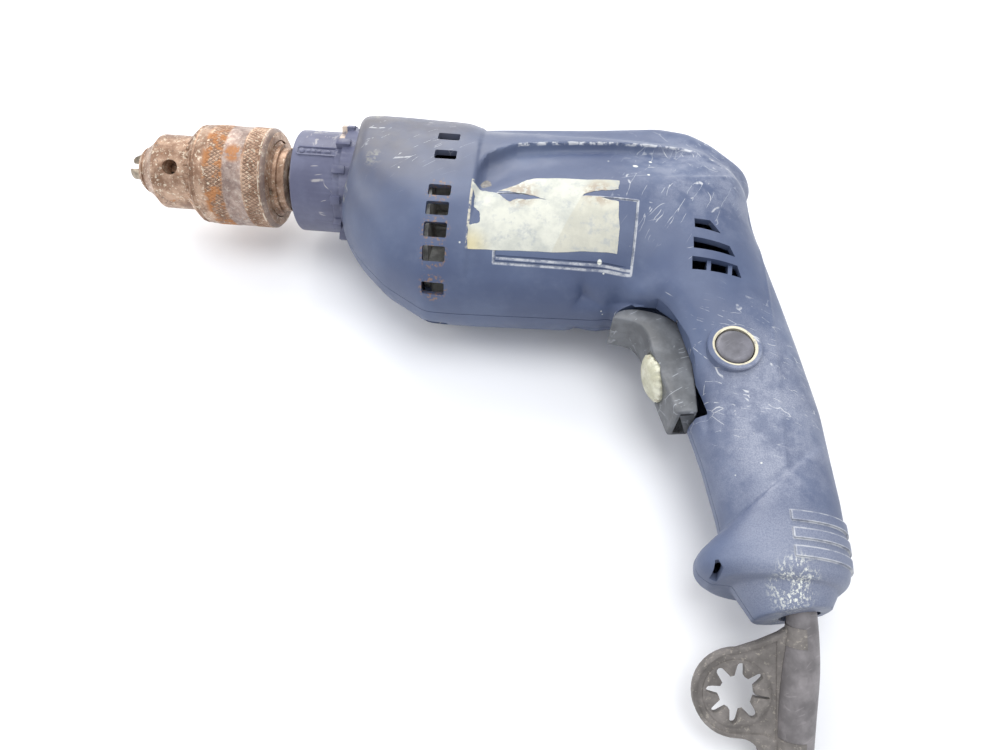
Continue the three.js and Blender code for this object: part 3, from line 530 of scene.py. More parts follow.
def housing_material():
    """Navy plastic, browner at the front, with pale dust that on the handle and skirt is partly painted
    sheen, scratches, paint, glue and rust.
    """
    shader = Shader("worn navy plastic", 0.46)
    cloud = shader.noise(90, 5, 0.65)
    navy, pale_navy = (0.06, 0.082, 0.155), (0.085, 0.115, 0.2)
    tone = shader.mix(shader.patches((24, 4, 0.6), 0.35, 0.7), navy, pale_navy)
    tone = shader.mix(shader.step(cloud, 0.45, 0.8, 0, 0.4), tone, (0.13, 0.16, 0.24))
    brown = shader.both(shader.near((38, 14, 24), 66, 0.8), shader.patches((60, 4, 0.6), 0.3, 0.7, 0.55, 1))
    tone = shader.mix(brown, tone, (0.105, 0.1, 0.112))
    stains = (((33, 14, 22), 7), ((38, -14, 28), 6), ((26, -22, 18), 6))
    olive = shader.either(*(shader.near(place, radius, 0.7) for place, radius in stains))
    olive = shader.both(olive, shader.patches((380, 4, 0.7), 0.46, 0.58))
    tone = shader.cover(tone, olive, 0.6, (0.4, 0.38, 0.28))
    # pale dust, and on the handle and skirt also painted sheen
    tone = shader.mix(housing_dust_and_sheen(shader), tone, (0.33, 0.35, 0.42))
    marks = housing_marks(shader)
    tone = shader.cover(tone, marks, 0.75, (0.6, 0.61, 0.62))
    tone = shader.mix(housing_paint(shader), tone, (0.74, 0.75, 0.68))
    tone = shader.mix(housing_glue(shader), tone, (0.72, 0.66, 0.48))
    rust = shader.either(*(shader.near((66, *vent), 6.6, 0.3) for vent in RUSTY_VENTS))
    rust = shader.both(rust, shader.patches((900, 3, 0.6), 0.53, 0.6))
    tone = shader.cover(tone, rust, 0.75, (0.26, 0.15, 0.08))
    shader.colour(tone)
    shader.send(shader.step(cloud, 0.3, 0.8, 0.36, 0.58), "Roughness")
    grain = shader.math("ADD", shader.noise(2600, 3, 0.6), shader.math("MULTIPLY", marks, -0.5))
    return shader.bump(grain, 0.07, 0.5).material


def housing_dust_and_sheen(shader):
    """Fine pale dust on the handle, the skirt and the rear top ridge; on the handle and skirt the pale
    colour is partly painted sheen, a broad highlight laid into the colour.
    """
    fine = shader.noise(2400, 4, 0.65)
    broad = shader.noise(110, 5, 0.65)
    # the pale on the handle and skirt is partly painted sheen: a broad highlight painted in as dust
    handle = shader.near((189, -108, 12), 58, 0.8, (2, 1, 0.8))
    handle = shader.both(handle, shader.step(broad, 0.35, 0.62, 0.35, 1))
    shoulder = shader.both(shader.near((170, -2, 26), 46, 0.8), shader.step(broad, 0.36, 0.62, 0, 0.6))
    skirt = shader.near((192, -156, 12), 26, 0.6)
    where = shader.either(handle, shoulder, shader.math("MULTIPLY", skirt, 0.7))
    return shader.both(where, shader.step(fine, 0.32, 0.68, 0.4, 0.9))


def housing_marks(shader):
    """Scratches, a worn edge over the thumb rest, and dust in the fine lines."""
    worn = shader.outline(SCOOP_EDGE[2:], 0.7)
    worn = shader.both(worn, shader.patches((260, 4, 0.7), 0.46, 0.58))
    frame = shader.outline([*LABEL_FRAME, LABEL_FRAME[0]], 0.5)
    second = shader.stripe((90, -52.6), (141, -51.9), 0.4)
    ribs, front = [], RIB_FRONT + 0.1
    for y in RIB_PLACES:
        low, high = y - RIB_HEIGHT / 2 - 0.1, y + RIB_HEIGHT / 2 + 0.1
        ribs.append(shader.outline([(219, high), (front, high), (front, low), (219, low)], 0.25))
    dust = shader.patches((220, 4, 0.7), 0.38, 0.6, 0.25, 1)
    lines = shader.both(shader.either(frame, second, *ribs), dust)
    scratched = (((210, 25, 0.016, 0.5), (156, -14, 26), 34),
                 ((240, -40, 0.016, 0.52), (164, 20, 22), 34),
                 ((260, -75, 0.016, 0.52), (186, -92, 16), 40),
                 ((200, 50, 0.014, 0.55), (50, 10, 26), 40))
    scratches = [shader.both(shader.scratches(*kind), shader.near(place, radius, 0.6))
                 for kind, place, radius in scratched]
    return shader.either(*scratches, shader.scratches(70, 70, 0.006, 0.62), worn, lines)


def housing_paint(shader):
    """Specks of pale paint, a few bigger dots and a streaky splash on the skirt."""
    cells = shader.node("ShaderNodeTexVoronoi", {"Vector": shader.place, "Scale": 110.0})
    colour = shader.node("ShaderNodeSeparateColor", {0: cells.outputs["Color"]})
    chosen = shader.step(colour.outputs[0], 0.7, 0.72)
    specks = shader.both(shader.step(cells.outputs["Distance"], 0.03, 0.05, 1, 0), chosen)
    drops = ((141.6, -4.6, 1.3), (148.1, 1.1, 0.8), (128.9, -51.1, 1), (146.3, -11.9, 0.7))
    dots = shader.either(*(shader.near((x, y, 20), radius, 0.4, (1, 1, 0.02)) for x, y, radius in drops))
    streaks = shader.patches((1300, 5, 0.7, (1, 0.5, 1)), 0.5, 0.57)
    spread = shader.near((192, -164.5, 18), 10.5, 0.7, (1.15, 1, 0.2))
    splash = shader.both(streaks, shader.patches((190, 3, 0.6), 0.36, 0.5), spread)
    return shader.either(shader.math("MULTIPLY", specks, 0.7), dots, splash)


def housing_glue(shader):
    """Cream glue on the handle's back edge and beside the label, and a dirty rim on the button's ring."""
    ragged = shader.patches((160, 5, 0.7), 0.4, 0.52)
    tape = shader.both(shader.stripe((203.5, -64), (213.5, -107), 5, 0.5), ragged)
    line = shader.stripe((78.4, -23), (78.4, -50.6), 0.5)
    line = shader.both(line, shader.patches((300, 4, 0.7), 0.4, 0.55))
    ring = shader.step(ring_distance(shader, BUTTON_PLACE, 7.5), 0.25, 0.7, 1, 0)
    grime = shader.patches((500, 3, 0.6), 0.3, 0.45, 0.35, 1)
    rim = shader.both(ring, shader.step(shader.axis("Z"), 17, 19), grime)
    return shader.either(tape, shader.math("MULTIPLY", line, 0.7), rim)


def ring_distance(shader, centre, radius):
    """How far a place is, in millimetres, from a circle about the z direction."""
    x = shader.math("SUBTRACT", shader.axis("X"), centre[0])
    y = shader.math("SUBTRACT", shader.axis("Y"), centre[1])
    return shader.math("ABSOLUTE", shader.math("SUBTRACT", shader.length(x, y), radius))


def collar_material():
    """Dark navy plastic with pale scuffs on its front half."""
    shader = Shader("dark navy plastic", 0.4)
    navy, pale_navy = (0.085, 0.09, 0.15), (0.13, 0.138, 0.21)
    tone = shader.mix(shader.patches((60, 4, 0.6), 0.35, 0.7), navy, pale_navy)
    middle = shader.patches((330, 4, 0.7, (1, 0.4, 0.4)), 0.55, 0.64)
    front = shader.patches((330, 4, 0.7, (0.3, 1, 1)), 0.58, 0.66)
    scuffs = shader.either(shader.both(middle, shader.near((9, 8, 18), 13, 0.6)),
                           shader.both(front, shader.near((4, 18, 12), 14, 0.6)),
                           shader.scratches(150, 80, 0.012, 0.6))
    tone = shader.cover(tone, scuffs, 0.6, (0.5, 0.47, 0.44))
    y, z = shader.axis("Y"), shader.axis("Z")
    proud = shader.step(shader.length(y, z), COLLAR_RADIUS + 0.25, COLLAR_RADIUS + 0.4)
    raised = shader.both(proud, shader.step(y, 0, 5), shader.step(shader.axis("X"), 20.6, 21, 1, 0),
                         shader.patches((420, 4, 0.7), 0.36, 0.54, 0.2, 0.9))
    tone = shader.mix(raised, tone, (0.58, 0.47, 0.37))
    return shader.finished(tone, (2400, 3, 0.6), 0.05, 0.4)


def chuck_material(name, knurled):
    """Brown old steel with pale bare flecks and, on the sleeve, orange rust and a bare band."""
    shader = Shader(name, 0.5, 0.5)
    dark_brown, brown = (0.23, 0.13, 0.08), (0.5, 0.34, 0.24)
    tone = shader.mix(shader.patches((160, 5, 0.65), 0.36, 0.66), dark_brown, brown)
    flecks = shader.patches((620, 4, 0.7), 0.56, 0.62)
    tone = shader.cover(tone, flecks, 0.75, (0.74, 0.64, 0.5))
    dark = shader.patches((380, 4, 0.7, None, 0.6), 0.6, 0.68)
    tone = shader.cover(tone, dark, 0.7, (0.11, 0.08, 0.065))
    orange = shader.patches((240, 5, 0.7), 0.63, 0.7)
    if knurled:
        tone = sleeve_wear(shader, tone)
        orange = sleeve_rust(shader, orange)
    rust = shader.mix(shader.noise(700, 4, 0.6), (0.3, 0.115, 0.04), (0.55, 0.25, 0.09))
    tone = shader.cover(tone, orange, 0.9, rust)
    shader.colour(tone)
    matte = shader.either(orange, dark)
    shader.send(shader.step(matte, 0, 1, 0.42, 0.85), "Roughness")
    shader.send(shader.step(matte, 0, 1, 0.5, 0.0), "Metallic")
    return shader.bump(shader.noise(1300, 5, 0.7), 0.14, 0.7).material


def sleeve_wear(shader, tone):
    """Dark knurl grooves and back bevel, a worn bare band and a bright back edge on the sleeve."""
    x, radius = shader.axis("X"), shader.length(shader.axis("Y"), shader.axis("Z"))
    valley = shader.step(radius, CHUCK_RADIUS - KNURL_DEPTH * 0.9, CHUCK_RADIUS - KNURL_DEPTH * 0.3, 1, 0)
    bands = shader.either(*(shader.between(x, (low - 0.2, low + 0.2), (high - 0.2, high + 0.2))
                            for low, high in KNURL_BANDS))
    groove = shader.both(valley, shader.step(radius, 20.4, 20.7), bands)
    tone = shader.cover(tone, groove, 0.8, (0.13, 0.085, 0.06))
    bare = shader.between(x, (-29.2, -28.4), (-21, -20.4))
    worn = shader.mix(shader.patches((420, 4, 0.65), 0.4, 0.62), (0.22, 0.175, 0.17), (0.44, 0.37, 0.34))
    tone = shader.cover(tone, bare, 0.6, worn)
    back_bevel = shader.both(shader.between(x, (-12.9, -12.6), (-11, -10.7)), shader.step(radius, 19.6, 20))
    tone = shader.cover(tone, back_bevel, 0.6, (0.13, 0.11, 0.11))
    edge = shader.between(x, (-13.6, -13.4), (-13.2, -13))
    edge = shader.both(edge, shader.patches((200, 4, 0.7), 0.42, 0.55))
    return shader.mix(edge, tone, (0.8, 0.72, 0.6))


def sleeve_rust(shader, scattered):
    """Where orange rust lies on the sleeve: scattered, low on the front band, and in one spot."""
    low = shader.step(shader.axis("Y"), 2, 9, 1, 0.15)
    low_front = shader.both(shader.between(shader.axis("X"), (-38, -36), (-29.4, -28)), low)
    spot = shader.near((-24.5, -6, 20), 5, 0.5)
    return shader.either(shader.math("MULTIPLY", scattered, 0.6),
                         shader.both(low_front, shader.patches((170, 6, 0.72), 0.46, 0.54)),
                         shader.both(spot, shader.patches((300, 5, 0.7), 0.42, 0.5)))


def black_material(name, tone, streak=0.5, roughness=0.42, tint=(0.95, 1, 1.08)):
    """Black plastic or rubber with grey streaks and dust."""
    shader = Shader(name, roughness)
    greys = (tone * 0.75, tone * 1.35, min(tone * 3 + 0.12, 0.6))
    low, high, pale = (tuple(grey * part for part in tint) for grey in greys)
    base = shader.mix(shader.patches((120, 4, 0.6), 0.35, 0.7), low, high)
    streaks = shader.either(shader.scratches(160, 55, 0.03, 0.52), shader.scratches(240, 64, 0.03, 0.55))
    base = shader.mix(shader.math("MULTIPLY", streaks, streak), base, pale)
    return shader.finished(base, (1800, 4, 0.6), 0.06, 0.5)


def dial_material():
    """Yellowed pale plastic with brown grime."""
    shader = Shader("yellowed plastic", 0.5)
    tone = shader.mix(shader.patches((180, 4, 0.6), 0.35, 0.65), (0.45, 0.44, 0.32), (0.66, 0.65, 0.52))
    grime = shader.patches((520, 4, 0.7), 0.57, 0.66)
    tone = shader.cover(tone, grime, 0.5, (0.36, 0.26, 0.16))
    return shader.finished(tone, (1500, 4, 0.6), 0.08, 0.5)


def holder_material():
    """Grey-brown rubber full of dust."""
    shader = Shader("dusty rubber", 0.72)
    tone = shader.mix(shader.patches((140, 5, 0.65), 0.35, 0.7), (0.13, 0.118, 0.108), (0.22, 0.2, 0.185))
    dust = shader.patches((700, 4, 0.7), 0.56, 0.66)
    tone = shader.cover(tone, dust, 0.5, (0.42, 0.38, 0.32))
    return shader.finished(tone, (1400, 4, 0.6), 0.12, 0.6)


def label_material():
    """Yellowed paper with grey stains, brown along its upper edge and orange in one corner."""
    shader = Shader("torn paper", 0.6)
    blend = shader.patches((70, 5, 0.65), 0.4, 0.62)
    tone = shader.mix(blend, (0.46, 0.47, 0.42), (0.6, 0.6, 0.52))
    # a darker, browner part lies right of a slanting tear
    across = shader.math("SUBTRACT", shader.axis("X"), shader.math("MULTIPLY", shader.axis("Y"), 0.45))
    right = shader.step(across, 132.5, 133.2)
    tone = shader.cover(tone, right, 0.4, (0.44, 0.41, 0.31))
    stains = shader.patches((210, 5, 0.7), 0.5, 0.66)
    tone = shader.cover(tone, stains, 0.5, (0.3, 0.33, 0.36))
    scorched = shader.either(shader.near((97, -27.5, 30), 9, 0.6), shader.near((127, -25, 30), 8, 0.6))
    brown = shader.both(scorched, shader.patches((330, 4, 0.7), 0.42, 0.55))
    tone = shader.cover(tone, brown, 0.75, (0.34, 0.27, 0.2))
    corner = shader.near((79, -52, 28), 11, 0.9)
    tone = shader.cover(tone, corner, 0.7, (0.6, 0.48, 0.17))
    return shader.finished(tone, (600, 5, 0.7), 0.12, 0.7)


# ---------------------------------------------------------------------------------- housing forms
# Sections across the spindle's axis: place along it, lowest y, highest y, half width.
MOTOR_BODY = [(22, -27, 25.6, 26.6), (26, -33.5, 27.8, 29), (32, -41.5, 29, 31), (44, -53.4, 29.4, 32.4),
              (62, -64.4, 29.4, 33), (72, -64.6, 29, 33), (80, -64.4, 25.2, 32.9), (130, -62.6, 25.5, 32.7),
              (150, -58, 26, 30.6), (168, -48, 23, 28.6), (182, -36, 14, 23), (188, -26, 6, 15)]
SPINE = [(68, -10, 29.2, 13), (82, -10, 31.4, 14), (127, -9, 33.4, 16.4), (153, -8, 36, 17.4),
         (166, -8, 34, 17.2), (175, -7, 28.5, 16.4), (182, -6, 21.5, 15.4), (188, -3, 17, 13),
         (192, 1.5, 13, 9), (193.6, 5, 9.6, 4.5)]
# Sections across the handle: front point, back point, half width, squareness.
HANDLE = [((128, -20), (189, -4), 30, 2.1), ((134, -46), (194.5, -28), 28.6, 2.1),
          ((138, -63), (200.5, -50), 25, 2.1), ((154.5, -81), (206.4, -76), 20.8, 2.2),
          ((164.3, -104), (211.6, -101), 18.4, 2.2), ((169.5, -121), (213.3, -122), 17.8, 2.2),
          ((174, -141), (214.4, -140), 17.6, 2.2), ((176, -158), (212, -159), 17.4, 2.2)]
POMMEL = [((171.5, -148), (211.6, -112), 18.6, 2.3), ((168, -151), (213.8, -132), 20, 2.3),
          ((165.7, -154.9), (214.6, -150.5), 20.7, 2.3), ((165.6, -158.3), (214.3, -158.8), 20.7, 2.3),
          ((167.3, -160.9), (213, -161.7), 20, 2.3), ((170.9, -162.6), (210.6, -163.4), 18.4, 2.3)]
SKIRT = [((173, -154), (210.3, -154.5), 16.8, 2.1), ((178.3, -164.3), (210.4, -163.3), 15.6, 2.1),
         ((183.7, -172.7), (207.8, -168.3), 12.9, 2.1), ((187.6, -179), (205.4, -173.2), 11, 2.1)]
WALL = 2.6
SPLIT_GAP = 0.15
SCOOP_EDGE = [(79.2, -16.2), (82.8, -7.9), (93.7, 0.5), (109.2, 4.2), (124.8, 6.8), (137.4, 9.2),
              (148.6, 11), (160.7, 10.9), (172.2, 5.8), (184, 0)]
SCOOP_DEPTH, SCOOP_HEIGHT = 4.4, 29
# Where the trigger's flat side shows: the housing narrows to it round this outline.
TRIGGER_SIDE = [(124, -110), (124, -58), (134.2, -66), (135.6, -62.2), (139, -61.4), (145.5, -61),
                (152.4, -62.2), (155.4, -65.4), (157.4, -68.8), (160.2, -75.3), (163, -86.6), (167, -99.3),
                (168.4, -104.6), (168.4, -110)]
TRIGGER_SIDE_Z = 10.2
# The handle ends at a plane through this place, which faces this way.
MOUTH_PLACE, MOUTH_FACING = (195.8, -170.5, 0), (0.18, -0.983, 0)
RECESS_START, RECESS_DEPTH = 78.5, 0.55
BUTTON_PLACE = (177.8, -83)
RIB_PLACES = (-143.9, -149.7, -155.5)
RIB_FRONT, RIB_HEIGHT = 191.4, 3.2


def dense(stations, values, spacing, blend):
    """Values between stations, with the bends at the stations rounded over a length of blend."""
    places = np.arange(stations[0], stations[-1] + spacing / 2, spacing)
    window = np.hanning(max(round(blend / spacing), 1) + 2)
    window /= window.sum()
    half = len(window) // 2
    rows = []
    for column in np.transpose(values):
        padded = np.pad(np.interp(places, stations, column), half, "reflect", reflect_type="odd")
        rows.append(np.convolve(padded, window, "valid")[:len(places)])
    return places, np.array(rows)


def distance(form, spacing):
    """About how far each grid point is outside the surface where form is 1."""
    slopes = np.gradient(form, *spacing)
    return (form - 1) / np.maximum(np.sqrt(sum(slope * slope for slope in slopes)), 1e-3)


def ellipse_form(u, v, power):
    """1 on a superellipse with half axes of 1, less inside it."""
    return (np.abs(u) ** power + np.abs(v) ** power) ** (1 / power)


def beam(x, y, z, spacing, sections, power):
    """Distance from a form given by sections across the x axis."""
    places, (low, high, half) = dense([s[0] for s in sections], [s[1:] for s in sections], 0.5, 9)
    low, high, half = (np.interp(x, places, column) for column in (low, high, half))
    form = ellipse_form((2 * y - low - high) / (high - low), z / half, power)
    return np.maximum(distance(form, spacing), np.maximum(x - places[-1], places[0] - x))


def limb(x, y, z, spacing, sections, blend):
    """Distance from a form given by leaning sections across the handle."""
    values = [((f[0] + b[0]) / 2, (f[1] + b[1]) / 2, (b[0] - f[0]) / 2, (b[1] - f[1]) / 2, half, power)
              for f, b, half, power in sections]
    steps = [math.dist(a[:2], b[:2]) for a, b in itertools.pairwise(values)]
    _, columns = dense([0, *itertools.accumulate(steps)], values, 1, blend)
    px, py = x[:, :, 0], y[:, :, 0]
    mx, my, hx, hy = (column[:, None, None] for column in columns[:4])
    past = ((px - mx) * hy - (py - my) * hx) / np.hypot(hx, hy)
    last = len(past) - 1
    index = np.clip((past > 0).sum(axis=0), 1, last)
    before, after = (np.take_along_axis(past, (index + k)[None], 0)[0] for k in (-1, 0))
    gap = np.where(np.abs(before - after) < 1e-9, 1e-9, before - after)
    share = index - 1 + np.clip(before / gap, 0, 1)
    at_share = (np.interp(share, range(last + 1), column)[:, :, None] for column in columns)
    mx, my, hx, hy, half, power = at_share
    u = ((x - mx) * hx + (y - my) * hy) / (hx * hx + hy * hy)
    form = ellipse_form(u, z / half, power)
    return np.maximum(distance(form, spacing), np.maximum(-past[0], past[-1])[:, :, None])


def blended(a, b, width):
    """The union of two distances, with a rounded inner corner."""
    share = np.clip(0.5 + 0.5 * (b - a) / width, 0, 1)
    return b * (1 - share) + a * share - width * share * (1 - share)


def eased(value, low, high):
    """A smooth rise from 0 to 1 as value goes from low to high."""
    share = np.clip((value - low) / (high - low), 0, 1)
    return share * share * (3 - 2 * share)


def outline_distance(x, y, outline):
    """Distance in x and y from an outline, negative inside it."""
    nearest = np.full(x.shape, 1e9)
    inside = np.zeros(x.shape, bool)
    for (ax, ay), (bx, by) in zip(outline, outline[1:] + outline[:1]):
        dx, dy = bx - ax, by - ay
        share = np.clip(((x - ax) * dx + (y - ay) * dy) / (dx * dx + dy * dy), 0, 1)
        nearest = np.minimum(nearest, np.hypot(x - ax - share * dx, y - ay - share * dy))
        if dy:
            inside ^= ((ay > y) != (by > y)) & (x < ax + dx * (y - ay) / dy)
    return np.where(inside, -nearest, nearest)


def steep_start(value, length):
    """From 0 to 1, steep at first and flat at the end."""
    share = np.clip(value / length, 0, 1)
    return share * (2 - share)


def scoop_depth(x, y):
    """The thumb rest: a long hollow with a crisp upper edge that fades out below it and behind."""
    edge = np.interp(x, [p[0] for p in SCOOP_EDGE], [p[1] for p in SCOOP_EDGE])
    below = edge - y
    depth = SCOOP_DEPTH * steep_start(below, 4) * (1 - eased(below, 9, SCOOP_HEIGHT))
    return depth * steep_start(x - SCOOP_EDGE[0][0], 4) * (1 - eased(x, 150, 182))


class Field:
    """The distance from the housing's outer skin on a grid over a box in millimetres."""

    def __init__(self, low, high, step, detail=True):
        self.low, self.step = np.array(low, float), step
        counts = [round((b - a) / step) + 1 for a, b in zip(low, high)]
        axes = [a + step * np.arange(count) for a, count in zip(low, counts)]
        x, y, z = np.meshgrid(*axes, indexing="ij")
        lay = (step, step, step)
        body = beam(x, y, z, lay, MOTOR_BODY, 2.1)
        body = blended(body, beam(x, y, z, lay, SPINE, 2.8), 3)
        body = blended(body, limb(x, y, z, lay, HANDLE, 9), 4.5)
        body = blended(body, limb(x, y, z, lay, POMMEL, 3), 0.6)
        body = blended(body, limb(x, y, z, lay, SKIRT, 3), 0.8)
        body = -blended(-body, x - MOTOR_BODY[0][0] - 0.0085 * z * z, 3)
        body = -blended(-body, -FLOOR - np.abs(z), 1.5)
        place, facing = MOUTH_PLACE, MOUTH_FACING
        beyond_mouth = (x - place[0]) * facing[0] + (y - place[1]) * facing[1] + (z - place[2]) * facing[2]
        body = np.maximum(body, beyond_mouth)
        if detail:
            depth = RECESS_DEPTH * eased(x, RECESS_START, RECESS_START + 0.8) * (1 - eased(x, 150, 175))
            body = body + depth * eased(np.abs(z), 15, 19) + scoop_depth(x, y) * eased(np.abs(z), 6, 12)
            side = outline_distance(x[:, :, 0], y[:, :, 0], TRIGGER_SIDE)[:, :, None]
            pocket = np.maximum(side, TRIGGER_SIDE_Z - np.abs(z))
            body = -blended(-body, pocket, 6)
        self.values = body

    def sample(self, points):
        """The distance and its slope at places inside the grid."""
        places = (points - self.low) / self.step
        cell = np.clip(np.floor(places).astype(int), 0, np.array(self.values.shape) - 2)
        share = places - cell
        total = np.zeros(len(points))
        slope = np.zeros((len(points), 3))
        for corner in itertools.product((0, 1), repeat=3):
            value = self.values[tuple((cell + corner).T)]
            weights = np.where(corner, share, 1 - share)
            total += value * weights.prod(axis=1)
            for k in range(3):
                others = np.delete(weights, k, axis=1).prod(axis=1)
                slope[:, k] += (1 if corner[k] else -1) * value * others / self.step
        return total, slope

    def skin(self, inset=0.0, every=1):
        """A closed mesh where the distance is -inset, cut off square at the grid's edges."""
        values = self.values[::every, ::every, ::every] + inset
        step = self.step * every
        inside = np.pad(values < 0, 1)
        padded = np.pad(values, 1, constant_values=step)
        padded[~inside & (padded < 1e-6)] = 1e-6
        total = np.zeros(tuple(n - 1 for n in padded.shape) + (3,))
        count = np.zeros(tuple(n - 1 for n in padded.shape))
        quads = []
        crossings = []
        for axis in range(3):
            a = [slice(None)] * 3
            b = [slice(None)] * 3
            a[axis], b[axis] = slice(None, -1), slice(1, None)
            here, there = padded[tuple(a)], padded[tuple(b)]
            flips = (here < 0) != (there < 0)
            where = np.argwhere(flips)
            share = here[flips] / (here[flips] - there[flips])
            point = where.astype(float)
            point[:, axis] += share
            second, third = (axis + 1) % 3, (axis + 2) % 3
            around = []
            for ds, dt in ((0, 0), (-1, 0), (-1, -1), (0, -1)):
                cell = where.copy()
                cell[:, second] += ds
                cell[:, third] += dt
                np.add.at(total, tuple(cell.T), point)
                np.add.at(count, tuple(cell.T), 1)
                around.append(cell)
            crossings.append((around, here[flips] < 0))
        used = count > 0
        index = np.full(count.shape, -1)
        index[used] = np.arange(used.sum())
        points = self.low + (total[used] / count[used][:, None] - 1) * step
        for around, forwards in crossings:
            quad = np.stack([index[tuple(cell.T)] for cell in around], axis=1)
            quads.append(np.where(forwards[:, None], quad, quad[:, ::-1]))
        edges_low = self.low + 0.01
        edges_high = self.low + (np.array(self.values.shape) - 1) * self.step - 0.01
        free = np.all((points > edges_low) & (points < edges_high), axis=1)
        # draw the points onto the surface, never by more than half a cell at a time
        for _ in range(3):
            away, slope = self.sample(points)
            shift = ((away + inset) / np.maximum((slope * slope).sum(axis=1), 0.05))[:, None] * slope
            shift = np.clip(shift, -0.45 * step, 0.45 * step)
            points = np.where(free[:, None], points - shift, points)
        return Shape(points, np.concatenate(quads))


FIELD_STEP = 0.9
# Each half has its own grid, which reaches a little past the split between them.
HOUSING = Field((19, -188.1, -2.7), (218, 42, 36), FIELD_STEP)
RIGHT_HOUSING = Field((19, -188.1, -36), (218, 42, 2.7), FIELD_STEP)


def surface_height(x, y):
    """Height of the housing's left skin over places in x and y."""
    inside = HOUSING.values < 0
    layers = HOUSING.values.shape[2]
    top = np.clip(layers - 1 - np.argmax(inside[:, :, ::-1], axis=2), 0, layers - 2)
    here, above = (np.take_along_axis(HOUSING.values, (top + k)[:, :, None], 2)[:, :, 0] for k in (0, 1))
    heights = HOUSING.low[2] + HOUSING.step * (top + np.clip(here / np.minimum(here - above, -1e-6), 0, 1))
    places = (np.column_stack([x, y]) - HOUSING.low[:2]) / HOUSING.step
    cell = np.floor(places).astype(int)
    share = places - cell
    result = np.zeros(len(places))
    for i, j in itertools.product((0, 1), repeat=2):
        weight = np.where(i, share[:, 0], 1 - share[:, 0]) * np.where(j, share[:, 1], 1 - share[:, 1])
        result += weight * heights[cell[:, 0] + i, cell[:, 1] + j]
    return result


def fan_vents():
    """Boxes of the row of vents in the front hump's left side, each square to the skin there."""
    vents = [(0.2, 4.9), (-10.8, 4.8), (-29.4, 5.1), (-37.2, 5.6), (-45, 5.8), (-52.6, 5.8), (-61.4, 5.2)]
    middle, half_height, half_width = -17.5, 47, 33
    boxes = []
    for y, height in vents:
        rise = math.asin((y - middle) / half_height)
        lean = math.degrees(math.atan2(math.sin(rise) * half_width, math.cos(rise) * half_height))
        place = Matrix.Translation((66.1, y, half_width * math.cos(rise))) @ about("X", -lean).to_4x4()
        boxes.append(prism(nicked(8.8, height, 0.5), -5.5, 5.5).moved(place))
    return boxes


EXHAUST_SLOTS = [[(163.6, -36.1), (173.6, -37.4), (169.5, -32.3), (163.5, -32.2)],
                 [(163.2, -44.9), (179, -46.2), (177, -42), (163.1, -40.3)],
                 [(162.7, -53.6), (181.1, -54.8), (179.7, -49.8), (162.7, -48.3)]]
# The opening that shows round the trigger, and the lower room behind it that lets the lever slide back.
TRIGGER_OPENING = [(150, -108), (165.6, -106.4), (167.2, -104.6), (164.9, -85), (159.7, -67.4),
                   (152, -61.6), (143.6, -61.6), (138.6, -62), (136, -62.8), (134.6, -65.2), (134.2, -72)]
TRIGGER_ROOM = [(150, -108), (159.4, -106.3), (167.4, -105.6), (173.8, -104.4), (172.8, -83),
                (167.6, -64.4), (159.5, -59.8), (150, -59.2), (138.6, -61.6), (134.6, -65.2)]
SCREWS = [(60, 21.2), (58, -50.5), (120, -52), (126, 21.5), (180, 7), (174.5, -153), (205, -153)]
TOWER_RADIUS, HEAD_BORE, THREAD_BORE = 4.9, 3.9, 2.2
CORD_HOLE = ((197.6, -160, 0), (199.6, -180, -2), 6.6)
LABEL_FRAME = [(88.9, -54), (141.2, -53.2), (142.1, -26.6), (88.2, -28)]


def inner_ring(outline, width):
    """The same outline drawn in towards its middle by about a width."""
    flat = np.asarray(outline, float)
    middle = flat.mean(axis=0)
    away = flat - middle
    return middle + away * (1 - width / np.abs(away).mean(axis=0))


def grooves_round_label():
    """A fine groove in the skin round the rating label, twice along its lower edge."""
    skin = Field((86, -66, 14), (146, -22, 38), 0.8).skin(0.4)
    outer = make_object("grooves", prism(LABEL_FRAME, 20, 37))
    cut(outer, prism(inner_ring(LABEL_FRAME, 0.75), 18, 39))
    low_left, low_right = (np.array(p) for p in LABEL_FRAME[:2])
    second = [low_left + (1, 1.7), low_right + (-0.6, 1.7), low_right + (-0.6, 2.3), low_left + (1, 2.3)]
    join(outer, prism(second, 20, 37))
    return cut(outer, skin)


def raised_ribs():
    """Three bands that stand proud round the back of the handle."""
    swollen = Field((190, -161, -0.9), (218, -139, 21.6), 0.6, False).skin(-0.8)
    ribs = make_object("ribs", swollen)
    keep(ribs, merged(box((40, RIB_HEIGHT, 60), (RIB_FRONT + 20, y, 0)) for y in RIB_PLACES))
    shape = Shape((np.array([v.co for v in ribs.data.vertices]) - np.array(ORIGIN)) / MM,
                  [tuple(p.vertices) for p in ribs.data.polygons])
    bpy.data.objects.remove(ribs)
    return shape


def half_shell(field, side):
    """One hollow half with the openings that both have; side is 1 for the left one and -1 for the right."""
    shell = make_object("shell", field.skin())
    other_side = box((400, 400, 10), (100, -70, side * (SPLIT_GAP - 5)))
    cut(shell, make_object("hollow", field.skin(WALL, 2)), other_side)
    openings = merged([*fan_vents(), *(prism(outline, 14, 36) for outline in EXHAUST_SLOTS),
                       prism(TRIGGER_OPENING, -1, 16)])
    room = prism(TRIGGER_ROOM, -1, LEVER_HALF + 0.25)
    if side < 0:
        openings, room = mirrored(openings), mirrored(room)
    cut(shell, openings)
    cut(shell, room)
    cut(shell, ring_cut(18, 27, 23.8), cylinder(*CORD_HOLE))
    return join(shell, mirrored(raised_ribs()) if side < 0 else raised_ribs())


def mirrored(shape):
    """The same shape on the drill's other side."""
    return Shape(shape.points * (1, 1, -1), shape.faces).flipped()


